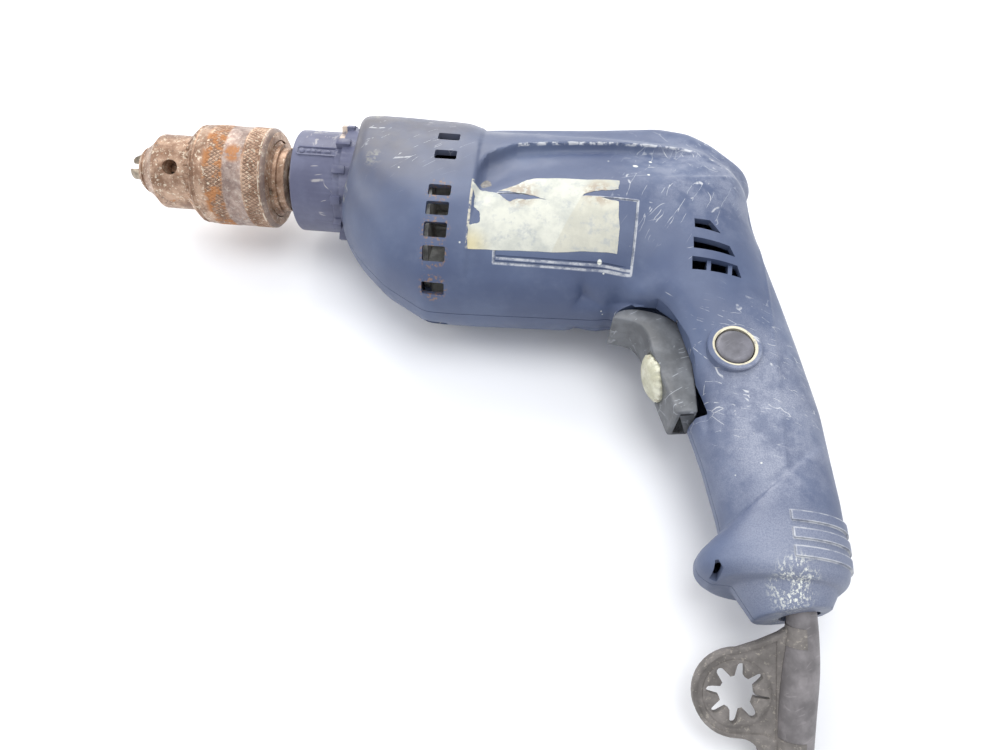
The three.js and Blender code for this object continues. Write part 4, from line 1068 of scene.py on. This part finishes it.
def make_housing(material):
    """The two hollow halves of the housing, parted by a fine gap, with all their openings."""
    left = half_shell(HOUSING, 1)
    right = half_shell(RIGHT_HOUSING, -1)
    finish_left_half(left)
    finish_right_half(right)
    for half, node in ((left, "left_housing"), (right, "right_housing")):
        half.name = node.replace("housing", "half")
        finish_mesh(half, material, 32)
        fit(half, "drill_body", "housing_plastic", node)


def finish_left_half(half):
    """The lock button's ring, the label's frame, a slot in the foot and ribs behind the lowest slot."""
    x, y = BUTTON_PLACE
    ring = turned([(14, 7.1), (14, 9.7), (20.6, 9.7), (21, 9.3), (21, 7.7), (20.5, 7.1)], 96)
    join(half, ring.moved(upright(x, y)))
    cut(half, cylinder((x, y, 9), (x, y, 30), 7.1, 96))
    cut(half, grooves_round_label())
    cut(half, box((2.3, 7, 9.6), (170.3, -161.5, 8.4)))
    for x, y in ((169, -51.4), (177, -52)):
        join(half, box((1.5, 8, 4), (x, y, surface_height([x], [y])[0] - 3), about("Z", -6)))


def finish_right_half(half):
    """Screw towers with deep bores, which only the right half shows."""
    for x, y in SCREWS:
        tower = make_object("tower", cylinder((x, y, -35), (x, y, -4), TOWER_RADIUS, 32))
        join(half, keep(tower, RIGHT_HOUSING.skin(0.4, 2)))
    cut(half, merged(cylinder((x, y, -40), (x, y, -12), HEAD_BORE, 40) for x, y in SCREWS))
    cut(half, merged(cylinder((x, y, -13), (x, y, -2), THREAD_BORE, 24) for x, y in SCREWS))


# ------------------------------------------------------------------------- gear housing and collar
COLLAR_RADIUS = 21.5
MOTOR_Y = -22.5


def ring_cut(x0, x1, radius, y=0.0, segments=96):
    """A rod along the x axis or beside it, for bores."""
    return cylinder((x0, y, 0), (x1, y, 0), radius, segments)


def wrapped(outline, low, high, degrees):
    """An outline in x and in length round the spindle's axis, laid on a cylinder between two radii."""
    flat = np.asarray(outline, float)
    rings = []
    for radius in (low, high):
        angle = math.radians(degrees) + flat[:, 1] / high
        rings.append(np.column_stack([flat[:, 0], radius * np.sin(angle), radius * np.cos(angle)]))
    return facing_out(rings_shape(rings))


def make_gear_housing(material):
    """The collar and the gear case behind it, with a ring of keying blocks and a small raised cartouche."""
    profile = [(0, 0), *arc((0.9, COLLAR_RADIUS - 0.9), 0.9, 180, 90), (18, COLLAR_RADIUS), (18.4, 21.9),
               (21.2, 21.9), (21.4, 23.4), (28, 23.4), (29, 24), (50, 24), (50, 0)]
    case = make_object("collar", turned(profile, 128))
    join(case, ring_cut(32, 50, 14, MOTOR_Y, 64))
    blocks = []
    for degrees in range(0, 360, 30):
        turn = about("X", degrees)
        back = 2.4 * max(math.cos(math.radians(degrees)), 0) ** 2
        blocks.append(box((3.4 + back, 3.2, 5.2), tuple(turn @ Vector((19.4 + back, 0, 22.2))), turn))
    join(case, *blocks, box((4.6, 3.6, 5.4), (18.8, COLLAR_RADIUS + 1.2, 4)))
    join(case, *cartouche())
    cut(case, ring_cut(-1, 3, 9), ring_cut(2.9, 12, 14.3), ring_cut(11.9, 24, 10), ring_cut(23.9, 51, 21.3),
        ring_cut(34, 51, 11.4, MOTOR_Y, 48))
    bevel(case, 0.35, 2, 40)
    finish_mesh(case, material, 40)
    return fit(case, "drill_body", "collar_plastic", "gear_housing")


def cartouche():
    """A raised frame with a ring and a row of plain dashes in it."""
    long, wide, rim, turn = 17.6, 4.4, 0.45, -8.5
    middle = (10.9, 0)
    outline = np.array(nicked(long, wide, 0.7))
    inside = outline * (1 - 2 * rim / long, 1 - 2 * rim / wide)
    frame_ring = make_object("frame_ring", wrapped(outline + middle, 21, 21.95, turn))
    cut(frame_ring, wrapped(inside + middle, 20, 23, turn))
    pieces = [frame_ring, wrapped(arc((4.4, 0), 1.1, 0, 342, 20), 21, 21.85, turn)]
    for place, length in ((7.2, 1.5), (9.4, 1.5), (11.6, 1.5), (15.2, 2.6)):
        start, end = place - length / 2, place + length / 2
        dash = [(start, -0.6), (end, -0.6), (end, 0.6), (start, 0.6)]
        pieces.append(wrapped(dash, 21, 21.85, turn))
    return pieces


# ------------------------------------------------------------------------------------------ chuck
CHUCK_TURN = 36
KEY_HOLE_X = -53.5
CHUCK_RADIUS = 21.4
KNURLS = 84
KNURL_DEPTH = 0.34
KNURL_BANDS = ((-36, -28.8), (-20.2, -13.6))
KEY_TEETH = 30
SLEEVE_LIP = 16.3


def sleeve_ripple(x, radius, angles):
    """The sleeve's radius round the axis, with diamond knurls in two bands and teeth on the front bevel."""
    radii = np.full(len(angles), float(radius))
    for start, end in KNURL_BANDS:
        if start < x < end:
            lead = x * KNURLS / CHUCK_RADIUS * 0.62
            waves = [np.abs((KNURLS * angles + way * lead) / (2 * math.pi) % 1 - 0.5) for way in (1, -1)]
            grooves = np.maximum(*(np.clip(1 - wave / 0.24, 0, 1) for wave in waves))
            fade = min((x - start) / 0.4, (end - x) / 0.4, 1)
            radii -= KNURL_DEPTH * fade * grooves
    if -47.3 < x < -43 and radius > SLEEVE_LIP:
        tooth = np.clip(0.5 + 1.4 * np.cos(KEY_TEETH * angles), 0, 1)
        radii = np.maximum(radii - 1.5 * (1 - tooth) * min(1, (-43 - x) / 2.2), SLEEVE_LIP + 0.1)
    return radii


def make_sleeve(material):
    """The chuck's sleeve, with key teeth, a stepped front, two knurled bands and a bevelled back."""
    segments = KNURLS * 8
    step = 0.26
    bands = [[(x, CHUCK_RADIUS) for x in np.arange(start + 0.05, end, step)] for start, end in KNURL_BANDS]
    bevelled = [(x, 16.7 + x + 47.2) for x in np.arange(-47.2, -43.2, 0.4)]
    bore = 20.08
    profile = [(-47.4, SLEEVE_LIP), (-47.4, 16.5), *bevelled, (-43.1, 20.8), (-42.7, 20.9), (-42.3, 20.35),
               (-41.6, 20.3), (-41.2, 20.9), (-40.2, 21.1), (-38.2, 21.15), (-37.6, 21.35),
               (-36.2, CHUCK_RADIUS), *bands[0], (-28.7, CHUCK_RADIUS), (-28.4, 21.25), (-20.6, 21.25),
               (-20.3, CHUCK_RADIUS), *bands[1], (-13.4, CHUCK_RADIUS), (-13.2, 21.15), (-12.9, 21.35),
               (-12.4, 21.3), (-10.9, 19.9), (-10.5, 19.3), (-10.5, 16.5), (-12.4, 16.5), (-12.5, bore),
               (-42.7, bore), (-42.8, SLEEVE_LIP)]
    sleeve = make_object("sleeve", turned(profile, segments, sleeve_ripple), material, 50)
    return fit(sleeve, "chuck_sleeve", "chuck_steel", "chuck_sleeve")


JAW_SLOPE = 12.5
JAW_RADIUS, JAW_GRIP = 2.9, 2.3
JAW_DIRECTIONS = (90 + CHUCK_TURN, 210 + CHUCK_TURN, 330 + CHUCK_TURN)


def sloped_rod(direction, x0, x1, radius):
    """A rod that slopes in towards the chuck's nose, on the side given by its direction."""
    slope = math.tan(math.radians(JAW_SLOPE))
    ends = [(x, JAW_GRIP + 2.1 + (x + 71) * slope, 0) for x in (x0, x1)]
    return cylinder(*ends, radius, 40).moved(about("X", direction - 90).to_4x4())


def make_jaws(material):
    """Three rods ground to a wedge inside and to the nose's cone outside."""
    for index, direction in enumerate(JAW_DIRECTIONS, 1):
        jaw = make_object(f"chuck_jaw_{index}", sloped_rod(direction, -79, -32, JAW_RADIUS))
        turn = about("X", direction - 90).to_4x4()
        cut(jaw, box((60, 20, 20), (-70, JAW_GRIP - 10, 0)).moved(turn))
        for side in (1, -1):
            lean = Matrix.Translation((-74, JAW_GRIP, 0)) @ Matrix.Rotation(side * 0.42, 4, "X")
            cut(jaw, box((24, 20, 10), (0, 0, side * 6)).moved(turn @ lean))
        keep(jaw, turned([(-77, 0), (-77, 4.2), (-75.8, 5.4), (-71, 7.6), (-28, 25), (-28, 0)], 64))
        bevel(jaw, 0.25, 2, 35)
        finish_mesh(jaw, material, 40)
        fit(jaw, f"jaw_{index}", "steel", f"jaw_{index}")


def make_chuck_body(material):
    """The chuck's body with its stepped nose, three sloping jaw bores and three rimmed key holes."""
    profile = [(-71, 0), (-71, 8.3), *arc((-70.6, 8.4), 0.4, 180, 90, 3), (-70.2, 8.9), (-70, 9.5),
               (-69.4, 9.9), (-69, 9.5), (-68.5, 9.6), (-68, 10.6), (-67.6, 10.8), (-62.6, 14.9),
               *arc((-61.4, 14.6), 1.3, 130, 90, 4), (-43.4, 15.9), (-43.2, 13.4), (-36.4, 13.4),
               (-36.2, 16.1), (-10.2, 16.1), (-9.9, 15.4), (-9.6, 14.9), (-8.2, 14.9), (-8, 13.6),
               (-5.3, 13.6), (-5, 13.3), (-5, 0)]
    body = make_object("chuck", turned(profile, 160))
    mouth = turned([(-75, 0), (-75, 7.4), (-70.6, 7), (-69, 6.8), (-38, 6.8), (-37, 0)], 64)
    cut(body, mouth, ring_cut(-38, -4, 6.4))
    for direction in JAW_DIRECTIONS:
        cut(body, sloped_rod(direction, -84, -10, JAW_RADIUS + 0.25))
    for degrees in (0, 120, 240):
        turn = about("X", degrees + CHUCK_TURN).to_4x4()
        cut(body, turned([(8, 0), (8, 3.1), (15.5, 3.12), (16.4, 3.6), (17, 3.6), (17, 0)], 48).moved(
            turn @ Matrix.Translation((KEY_HOLE_X, 0, 0)) @ about("Y", -90).to_4x4()))
    finish_mesh(body, material, 38)
    return fit(body, "spindle_and_chuck", "chuck_steel", "chuck_body")


# ------------------------------------------------------------------- trigger, speed dial and button
# The trigger slides along a line that leans by this many degrees from the x axis.
PULL = 17.3
LEVER_HALF = 9.5
SPRING_FRONT, SPRING_LENGTH = (161.8, -86.7, 0), 12
DIAL_PLACE, DIAL_RADIUS, DIAL_HALF = (151.9, -87, 0), 9.2, 4.1


def curved(start, control, end, count=8):
    """Points along a bend from a start to an end, without the start."""
    axes = list(zip(start, control, end))
    shares = [(k + 1) / count for k in range(count)]
    return [tuple(a * (1 - t) ** 2 + 2 * b * t * (1 - t) + c * t * t for a, b, c in axes) for t in shares]


def pull_frame(place):
    """Directions at a place, with x along the trigger's pull."""
    return Matrix.Translation(place) @ about("Z", PULL).to_4x4()


def about_pull(profile, segments=64, ripple=None):
    """A profile turned about the pull direction through the dial's middle."""
    return turned(profile, segments, ripple).moved(pull_frame(DIAL_PLACE))


def make_trigger(material):
    """The lever, with room for the dial, its stem and the return spring."""
    finger = [(140.3, -67.9), *curved((140.3, -67.9), (147.2, -68.6), (149.3, -75)),
              *curved((149.3, -75), (152.4, -88.5), (159, -105.6), 12)]
    back = [(166.6, -104.6), (165.6, -85), (160.4, -67), *curved((160.4, -67), (153, -62.2), (144, -62.2)),
            *curved((144, -62.2), (136.6, -62.6), (135.6, -67.4), 5)]
    outline = finger + back
    lever = make_object("lever", prism(outline, -LEVER_HALF, LEVER_HALF))
    bevel(lever, 0.9, 3, 50)
    foot_notch = [(160.6, -109), (168, -109), (168, -103.4), (160.6, -104.4)]
    for side in (1, -1):
        cut(lever, prism(foot_notch, side * 6.6, side * 8.3))
    wheel_room = about_pull([(-12, 0), (-12, 9.5), (4.5, 9.5), (4.5, 0)])
    stem_bore = about_pull([(3, 0), (3, 2.5), (10, 2.5), (10, 0)], 32)
    spring_bore = about_pull([(10.4, 0), (10.4, 4.4), (30, 4.4), (30, 0)], 32)
    cut(lever, wheel_room, stem_bore, spring_bore.moved(Matrix.Translation((0, -2.8, 0))))
    finish_mesh(lever, material, 38)
    return fit(lever, "trigger", "black_plastic", "trigger")


def make_trigger_spring(material):
    """The trigger's return spring, a fixed coil against the switch behind it."""
    wire, turns, coil = 0.45, 5, 3.4
    rings = []
    for index in range(121):
        angle = 2 * math.pi * turns * index / 120
        middle = np.array((SPRING_LENGTH * index / 120, coil * math.cos(angle), coil * math.sin(angle)))
        away = np.array((0, math.cos(angle), math.sin(angle)))
        rings.append([middle + wire * (math.cos(t) * away + math.sin(t) * np.array((1, 0, 0)))
                      for t in np.arange(8) * math.pi / 4])
    coiled = facing_out(rings_shape(rings)).moved(pull_frame(SPRING_FRONT))
    spring = make_object("return_spring", coiled, material)
    fit(spring, "drill_body", "steel", "trigger_spring")
    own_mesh(spring)


def make_dial(material):
    """A knurled wheel on a short stem, whose front edge stands out of the trigger."""
    knurls = 18

    def ripple(x, radius, angles):
        if radius < 8.1:
            return np.full(len(angles), float(radius))
        return radius - 0.55 * np.clip(0.5 - 0.9 * np.cos(knurls * angles), 0, 1)

    rim = [(x, DIAL_RADIUS) for x in np.arange(-0.2, 3.9, 0.8)]
    profile = [(-2.4, 0), (-2.4, 4.6), (-2, 6.4), (-1, 8.2), *rim, (DIAL_HALF, 8.6),
               (DIAL_HALF, 2.2), (7.9, 2.2), (7.9, 0)]
    dial = make_object("wheel", about_pull(profile, 216, ripple), material, 45)
    return fit(dial, "speed_dial", "dial_plastic", "speed_dial")


def make_button(material):
    """The lock button: a slightly domed cap on a stem."""
    dome = [(21.6 - 1.5 * (r / 6.7) ** 2 * 0.35, r) for r in np.linspace(0, 6, 10)]
    profile = [(6, 0), (6, 2.6), (14, 2.6), (14, 6.7), (20.2, 6.7), (20.7, 6.5), *dome[::-1]]
    button = make_object("lock_cap", turned(profile, 96).moved(upright(*BUTTON_PLACE)), material, 40)
    return fit(button, "lock_button", "black_plastic", "lock_button")


def make_housing_screws(material):
    """Seven cross-head screws deep in the right half's bores."""
    profile = [(-15.4, 0), (-15.4, 2.2), (-15.1, 3), (-14.5, 3.4), (-12.9, 3.4), (-12.9, 1.8), (9, 1.8),
               (9.5, 1.2), (9.5, 0)]
    for index, (x, y) in enumerate(SCREWS, 1):
        screw = make_object(f"screw_{index}", turned(profile, 48).moved(upright(x, y)))
        turn = about("Z", 23 * index)
        cut(screw, *(box(size, (x, y, -15.6), turn) for size in ((0.8, 3.8, 2), (3.8, 0.8, 2))))
        finish_mesh(screw, material, 35)
        fit(screw, "drill_body", "steel", f"housing_screw_{index}")


# ---------------------------------------------------------------------- guard, key holder and plug
GUARD_PATH = [(197.4, -157, 0), (199.1, -171, -0.5), (199.4, -184, -7), (199.5, -198, -15.4),
              (200.2, -212, -23), (200.8, -222, -27.2)]
GUARD_RADII = [5.6, 4.8, 6.0, 6.2, 5.5, 4.9]
GUARD_BORE = [(200.2, -214, -23.8), (200.6, -220, -26.4), (201.1, -226, -28.9)]
HOLDER_CENTRE, HOLDER_RADIUS = (17.7, 20.7), 14.1


SPAN_STEPS = 8


def smooth_path(points):
    """Points of a smooth curve through the given ones, which may carry more numbers than a place."""
    table = np.asarray(points, float)
    table = np.vstack([2 * table[0] - table[1], table, 2 * table[-1] - table[-2]])
    result = []
    for a, b, c, d in zip(table, table[1:], table[2:], table[3:]):
        for t in np.arange(SPAN_STEPS) / SPAN_STEPS:
            result.append(0.5 * (2 * b + (c - a) * t + (2 * a - 5 * b + 4 * c - d) * t * t
                                 + (3 * b - a - 3 * c + d) * t ** 3))
    return np.array([*result, table[-2]])


def swept(path, radii, sides=40, growth=0.0):
    """A round solid along a path, with a changing radius; the path must not run along the z direction."""
    table = smooth_path([(*point, radius) for point, radius in zip(path, radii)])
    heading = np.gradient(table[:, :3], axis=0)
    heading /= np.linalg.norm(heading, axis=1)[:, None]
    first = np.cross(heading, (0, 0, 1.0))
    first /= np.linalg.norm(first, axis=1)[:, None]
    second = np.cross(heading, first)
    angles = np.arange(sides) * 2 * math.pi / sides
    rings = [centre + (radius + growth) * (np.outer(np.cos(angles), a) + np.outer(np.sin(angles), b))
             for centre, radius, a, b in zip(table[:, :3], table[:, 3], first, second)]
    return facing_out(rings_shape(rings))


def make_guard(material):
    """The rubber guard round the cord, with a flange inside the housing."""
    body = make_object("guard", swept(GUARD_PATH, GUARD_RADII))
    join(body, cylinder((197.6, -158.5, 0), (197.6, -161.5, 0), 9, 64))
    cut(body, swept(GUARD_BORE, [4.1] * 3))
    bevel(body, 0.3, 2, 40)
    finish_mesh(body, material, 40)
    return fit(body, "drill_body", "black_rubber", "cord_guard")


def holder_frame():
    """The key holder's own directions: x away from the guard, y down along it, z out of the plate."""
    down = Vector((0.07, -0.86, -0.5)).normalized()
    away = (Vector((-1, 0, 0)) + down * down.x).normalized()
    basis = Matrix((away, down, away.cross(down))).transposed().to_4x4()
    return Matrix.Translation((196.4, -174, -1.6)) @ basis


def star_outline():
    """A hub with eight round-ended fingers, one of them a narrow slit."""
    points = []
    for index in range(8):
        middle = index * math.pi / 4 - 0.13
        half, reach = (0.4, 10.4) if index == 4 else (1.2, 9.9)
        tip = arc((reach - half, 0), half, -90, 90, 7)
        for along, across in [(5.6, -half * 1.35), *tip, (5.6, half * 1.35)]:
            points.append((HOLDER_CENTRE[0] + along * math.cos(middle) - across * math.sin(middle),
                           HOLDER_CENTRE[1] + along * math.sin(middle) + across * math.cos(middle)))
    return points


def make_key_holder(material):
    """The rubber plate that two bands hold to the guard, with a star-shaped hole for the chuck key."""
    edge = arc(HOLDER_CENTRE, HOLDER_RADIUS, -90, 90, 21)
    outline = [(0, -1.8), (4.6, 1.4), (11.1, 4.3), *edge, *curved(edge[-1], (11.2, 34.8), (10.2, 41)),
               (0, 41)]
    plate = make_object("holder", prism(outline, -1.7, 1.7))
    inner_edge = arc(HOLDER_CENTRE, HOLDER_RADIUS - 1.2, -90, 90, 21)
    middle = [(5.4, 3.4), (11.1, 5.8), *inner_edge, (9.6, 33.6), (5.2, 35)]
    for low, high in ((-3, -1.0), (1.0, 3)):
        cut(plate, prism(middle, low, high))
    join(plate, prism(arc(HOLDER_CENTRE, 10.9, 0, 354, 60), -1.3, 1.3))
    cut(plate, prism(star_outline(), -5, 5))
    bevel(plate, 0.3, 2, 40)
    place = holder_frame()
    plate.data.transform(Matrix.Translation(ORIGIN) @ Matrix.Scale(MM, 4) @ place @ Matrix.Scale(1 / MM, 4)
                         @ Matrix.Translation(-ORIGIN))
    for low, high in ((-1.5, 4.5), (34, 41)):
        band = make_object("band", swept(GUARD_PATH, GUARD_RADII, 48, 0.35))
        keep(band, box((40, high - low, 40), (17.4, (low + high) / 2, 0)).moved(place))
        join(plate, band)
    cut(plate, swept(GUARD_PATH, GUARD_RADII, 48, 0.1))
    finish_mesh(plate, material, 38)
    return fit(plate, "drill_body", "holder_rubber", "chuck_key_holder")


PLUG_Z = -24.4
PIN_SPACING = 19


def plug_frame():
    """The plug's own directions: x out of its pins, y from pin to pin, z up."""
    before, end = (Vector((x, y, PLUG_Z)) for x, y, _ in CORD_TAIL[-2:])
    heading = (end - before).normalized()
    sideways = Vector((-heading.y, heading.x, 0))
    return Matrix.Translation(end) @ Matrix((heading, sideways, Vector((0, 0, 1)))).transposed().to_4x4()


def make_plug(material, pin_material):
    """A two-pin plug with a ribbed strain relief and finger grooves."""
    rows = [(0.4, 4.9, 4.9), (1.4, 5.3, 5.3), (12, 5.6, 5.6), (13.4, 8.4, 6.4), (15.4, 11.4, 7.1),
            (22, 12.3, 7.4), (32, 13.1, 7.3), (38.4, 13.2, 6.9), (39.6, 12.8, 6.5), (40, 12.2, 6)]
    cosines, sines = superellipse(72, 3)
    spaced = np.arange(0.4, 40.01, 0.4)
    wide, thick = (np.interp(spaced, [r[0] for r in rows], [r[k] for r in rows]) for k in (1, 2))
    ribs = np.where((spaced > 2) & (spaced < 11.5), 0.45 * (np.sin(spaced * 3.4) > 0.2), 0)
    grip = np.where((spaced > 20) & (spaced < 33), 0.5 * np.clip(np.sin((spaced - 20) * 2.42), 0, 1), 0)
    rings = [np.column_stack([np.full(72, at), (w - rib - cosines ** 8 * g) * cosines, (t - rib) * sines])
             for at, w, t, rib, g in zip(spaced, wide, thick, ribs, grip)]
    plug = make_object("mains_plug", facing_out(rings_shape(rings)).moved(plug_frame()))
    tail = swept(CORD_TAIL[-3:], [CORD_RADIUS + 0.15] * 3)
    cut(plug, tail)
    finish_mesh(plug, material, 40)
    fit(plug, "drill_body", "plug_plastic", "plug")
    pins = []
    profile = [(40.4, 0), (40.4, 2.4), (50, 2.4), (50.2, 2.25), (57.6, 2.25), (58.8, 1.7), (59.4, 0.8),
               (59.4, 0)]
    for index, side in enumerate((-PIN_SPACING / 2, PIN_SPACING / 2), 1):
        place = plug_frame() @ Matrix.Translation((0, side, 0))
        pin = make_object(f"pin_{index}", turned(profile, 48).moved(place), pin_material, 35)
        pins.append(fit(pin, "drill_body", "brass", f"plug_pin_{index}"))
    return [plug, *pins]


# ------------------------------------------------------------------------------------------ label
LABEL_OUTLINE = [(78.2, -24.1), (81.3, -25.3), (85.5, -27.2), (88.6, -28.7), (92.2, -31.8), (93.5, -32.3),
                 (96.1, -30.8), (101.9, -30.3), (107.4, -30.1), (103.3, -29), (99.6, -28.2), (95.1, -27.7),
                 (88.4, -26.8), (90.9, -25.8), (94.8, -23.9), (98.9, -20), (102.6, -18.6), (120.4, -18.4),
                 (134.7, -17.9), (134.4, -22.4), (127.8, -23.6), (122.1, -25.7), (120.7, -27.2),
                 (127.6, -26.9), (134.6, -28.4), (135.5, -39.1), (135.2, -47.8), (119.3, -48.7),
                 (97.8, -49.9), (79, -50.7), (78.3, -42.9), (82.5, -41.5), (82.6, -38.4), (81.3, -36.6),
                 (79.9, -35.2), (79.8, -30.3), (78.3, -27.2)]


def torn(outline):
    """An outline with ever finer kinks along its sides."""
    flat = np.asarray(outline, float)
    for roughness in (0.35, 0.175, 0.0875):
        ahead = np.roll(flat, -1, axis=0)
        length = np.linalg.norm(ahead - flat, axis=1)
        kink = np.minimum(length * 0.12, roughness) * RANDOM.uniform(-1, 1, len(flat))
        side = np.column_stack([flat[:, 1] - ahead[:, 1], ahead[:, 0] - flat[:, 0]])
        middle = (flat + ahead) / 2 + side / np.maximum(length, 1e-6)[:, None] * kink[:, None]
        flat = np.stack([flat, middle], 1).reshape(-1, 2)
    return flat


def draped(name, outline, spacing, rise, depth, material):
    """A thin sheet with the given outline that lies on the housing's left skin."""
    low, high = outline.min(axis=0), outline.max(axis=0)
    inner = itertools.product(*(np.arange(a, b, spacing) for a, b in zip(low, high)))
    places = [Vector(p) for p in [*outline, *inner]]
    count = len(outline)
    edges = [(i, (i + 1) % count) for i in range(count)]
    points, _, faces = delaunay_2d_cdt(places, edges, [], 1, 1e-5)[:3]
    used = sorted({i for face in faces for i in face})
    renamed = {old: new for new, old in enumerate(used)}
    flat = np.array([points[i] for i in used])
    faces = [tuple(renamed[i] for i in face) for face in faces]
    heights = surface_height(flat[:, 0], flat[:, 1])
    top = np.column_stack([flat, heights + rise])
    bottom = np.column_stack([flat, heights - depth])
    sides = {}
    for face in faces:
        for a, b in zip(face, face[1:] + face[:1]):
            sides[(a, b)] = sides.get((a, b), 0) + 1
    rim = [(a, b) for a, b in sides if (b, a) not in sides]
    shift = len(flat)
    walls = [(b, a, a + shift, b + shift) for a, b in rim]
    under = [tuple(i + shift for i in face[::-1]) for face in faces]
    sheet = Shape(np.vstack([top, bottom]), faces + under + walls)
    return make_object(name, facing_out(sheet), material, 50)


def make_label(material):
    """The torn rating label, without its print."""
    sheet = draped("label", torn(LABEL_OUTLINE), 1.0, 0.14, 0.12, material)
    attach(sheet, "drill_body")
    return sheet


# ---------------------------------------------------------------------------------- floor and light
def make_stage():
    """A wide pale floor, a pale sky and soft lamps overhead."""
    shader = Shader("floor", 0.55)
    shader.colour(shader.mix(shader.noise(4, 2, 0.5), (0.86, 0.86, 0.87), (0.9, 0.9, 0.905)))
    far = 3000
    corners = [(-far, -far, FLOOR), (far, -far, FLOOR), (far, far, FLOOR), (-far, far, FLOOR)]
    floor = make_object("floor", Shape(corners, [(0, 1, 2, 3)]), shader.material)
    sky = bpy.data.worlds.new("studio")
    sky.use_nodes = True
    sky.node_tree.nodes["Background"].inputs["Color"].default_value = (0.93, 0.95, 1.0, 1.0)
    sky.node_tree.nodes["Background"].inputs["Strength"].default_value = 0.9
    bpy.context.scene.world = sky
    bpy.context.scene.view_settings.view_transform = "Standard"
    # name, place, width, power in watts and colour
    lamps = [("window", (-60, 620, 520), 700, 5.2, (1, 0.98, 0.95)),
             ("ceiling", (250, -80, 900), 600, 3.6, (0.96, 0.98, 1)),
             ("side", (-620, -60, 420), 420, 1.5, (1, 1, 1))]
    for name, place, size, power, colour in lamps:
        lamp = bpy.data.lights.new(name, "AREA")
        lamp.shape = "DISK"
        lamp.size = size * MM
        lamp.energy = power
        lamp.color = colour
        obj = add_object(name, lamp)
        aim = (row(100, -60, 0) - row(*place)).to_track_quat("-Z", "Y")
        obj.matrix_world = Matrix.Translation(row(*place)) @ aim.to_matrix().to_4x4()


# ------------------------------------------------------------------------------------ build it all
def dress_inner_parts():
    """Materials for the CAD pieces that stay as they are."""
    steel = plain("bright steel", (0.5, 0.5, 0.49), 0.32, 1.0, 0.15, 400)
    lamination = plain("laminated steel", (0.22, 0.21, 0.2), 0.5, 0.9, 0.25, 900)
    copper = plain("enamelled copper", (0.42, 0.17, 0.06), 0.35, 0.6, 0.3, 1200)
    brass = plain("brass", (0.55, 0.4, 0.15), 0.35, 1.0, 0.2, 500)
    carbon = plain("carbon", (0.02, 0.02, 0.02), 0.7)
    black = plain("black plastic", (0.02, 0.021, 0.023), 0.45)
    fan = plain("grey plastic", (0.42, 0.42, 0.4), 0.5)
    film = plain("red-brown film", (0.3, 0.06, 0.03), 0.4)
    nodes = {
        steel: ("bearing_plate", "spindle", "spindle_gear", "spindle_bearing", "chuck_screw", "chuck_nut",
                "armature_shaft", "motor_front_bearing", "motor_rear_bearing", "gear_case_screw_1",
                "gear_case_screw_2", "gear_case_screw_3", "clamp_screw_1", "clamp_screw_2",
                "brush_spring_left", "brush_spring_right"),
        lamination: ("armature_core", "stator_core"),
        copper: ("armature_windings", "field_coil_top", "field_coil_bottom", "commutator"),
        brass: ("spindle_bush", "brush_holder_left", "brush_holder_right"),
        carbon: ("carbon_brush_left", "carbon_brush_right"),
        black: ("switch_body", "cord_clamp", "bearing_cup"),
        fan: ("cooling_fan",),
        film: ("capacitor",),
    }
    for material, names in nodes.items():
        for name in names:
            paint(bpy.data.objects[name].data, material)


rubber = black_material("black rubber", 0.17, 0.1, 0.5, (1.06, 0.98, 0.99))
flex = make_cord(black_material("cord rubber", 0.1, 0.1, 0.55, (1.04, 0.98, 1)))
nickel = plain("nickelled brass", (0.55, 0.5, 0.4), 0.3, 1.0)
plug_parts = make_plug(black_material("plug plastic", 0.08, 0.2, 0.5), nickel)
make_housing(housing_material())
make_gear_housing(collar_material())
make_sleeve(chuck_material("sleeve steel", True))
make_chuck_body(chuck_material("body steel", False))
make_jaws(plain("worn jaw steel", (0.3, 0.25, 0.19), 0.42, 0.85, 0.4, 500, 0.1))
make_trigger(black_material("trigger plastic", 0.115, 0.45, 0.4))
make_trigger_spring(plain("spring steel", (0.42, 0.41, 0.4), 0.35, 1.0, 0.2, 600))
make_dial(dial_material())
make_button(black_material("button plastic", 0.13, 0.1, 0.4, (1, 0.98, 1.12)))
make_guard(rubber)
make_key_holder(holder_material())
make_housing_screws(plain("dull steel", (0.35, 0.34, 0.33), 0.4, 1.0))
make_label(label_material())
dress_inner_parts()
make_stage()
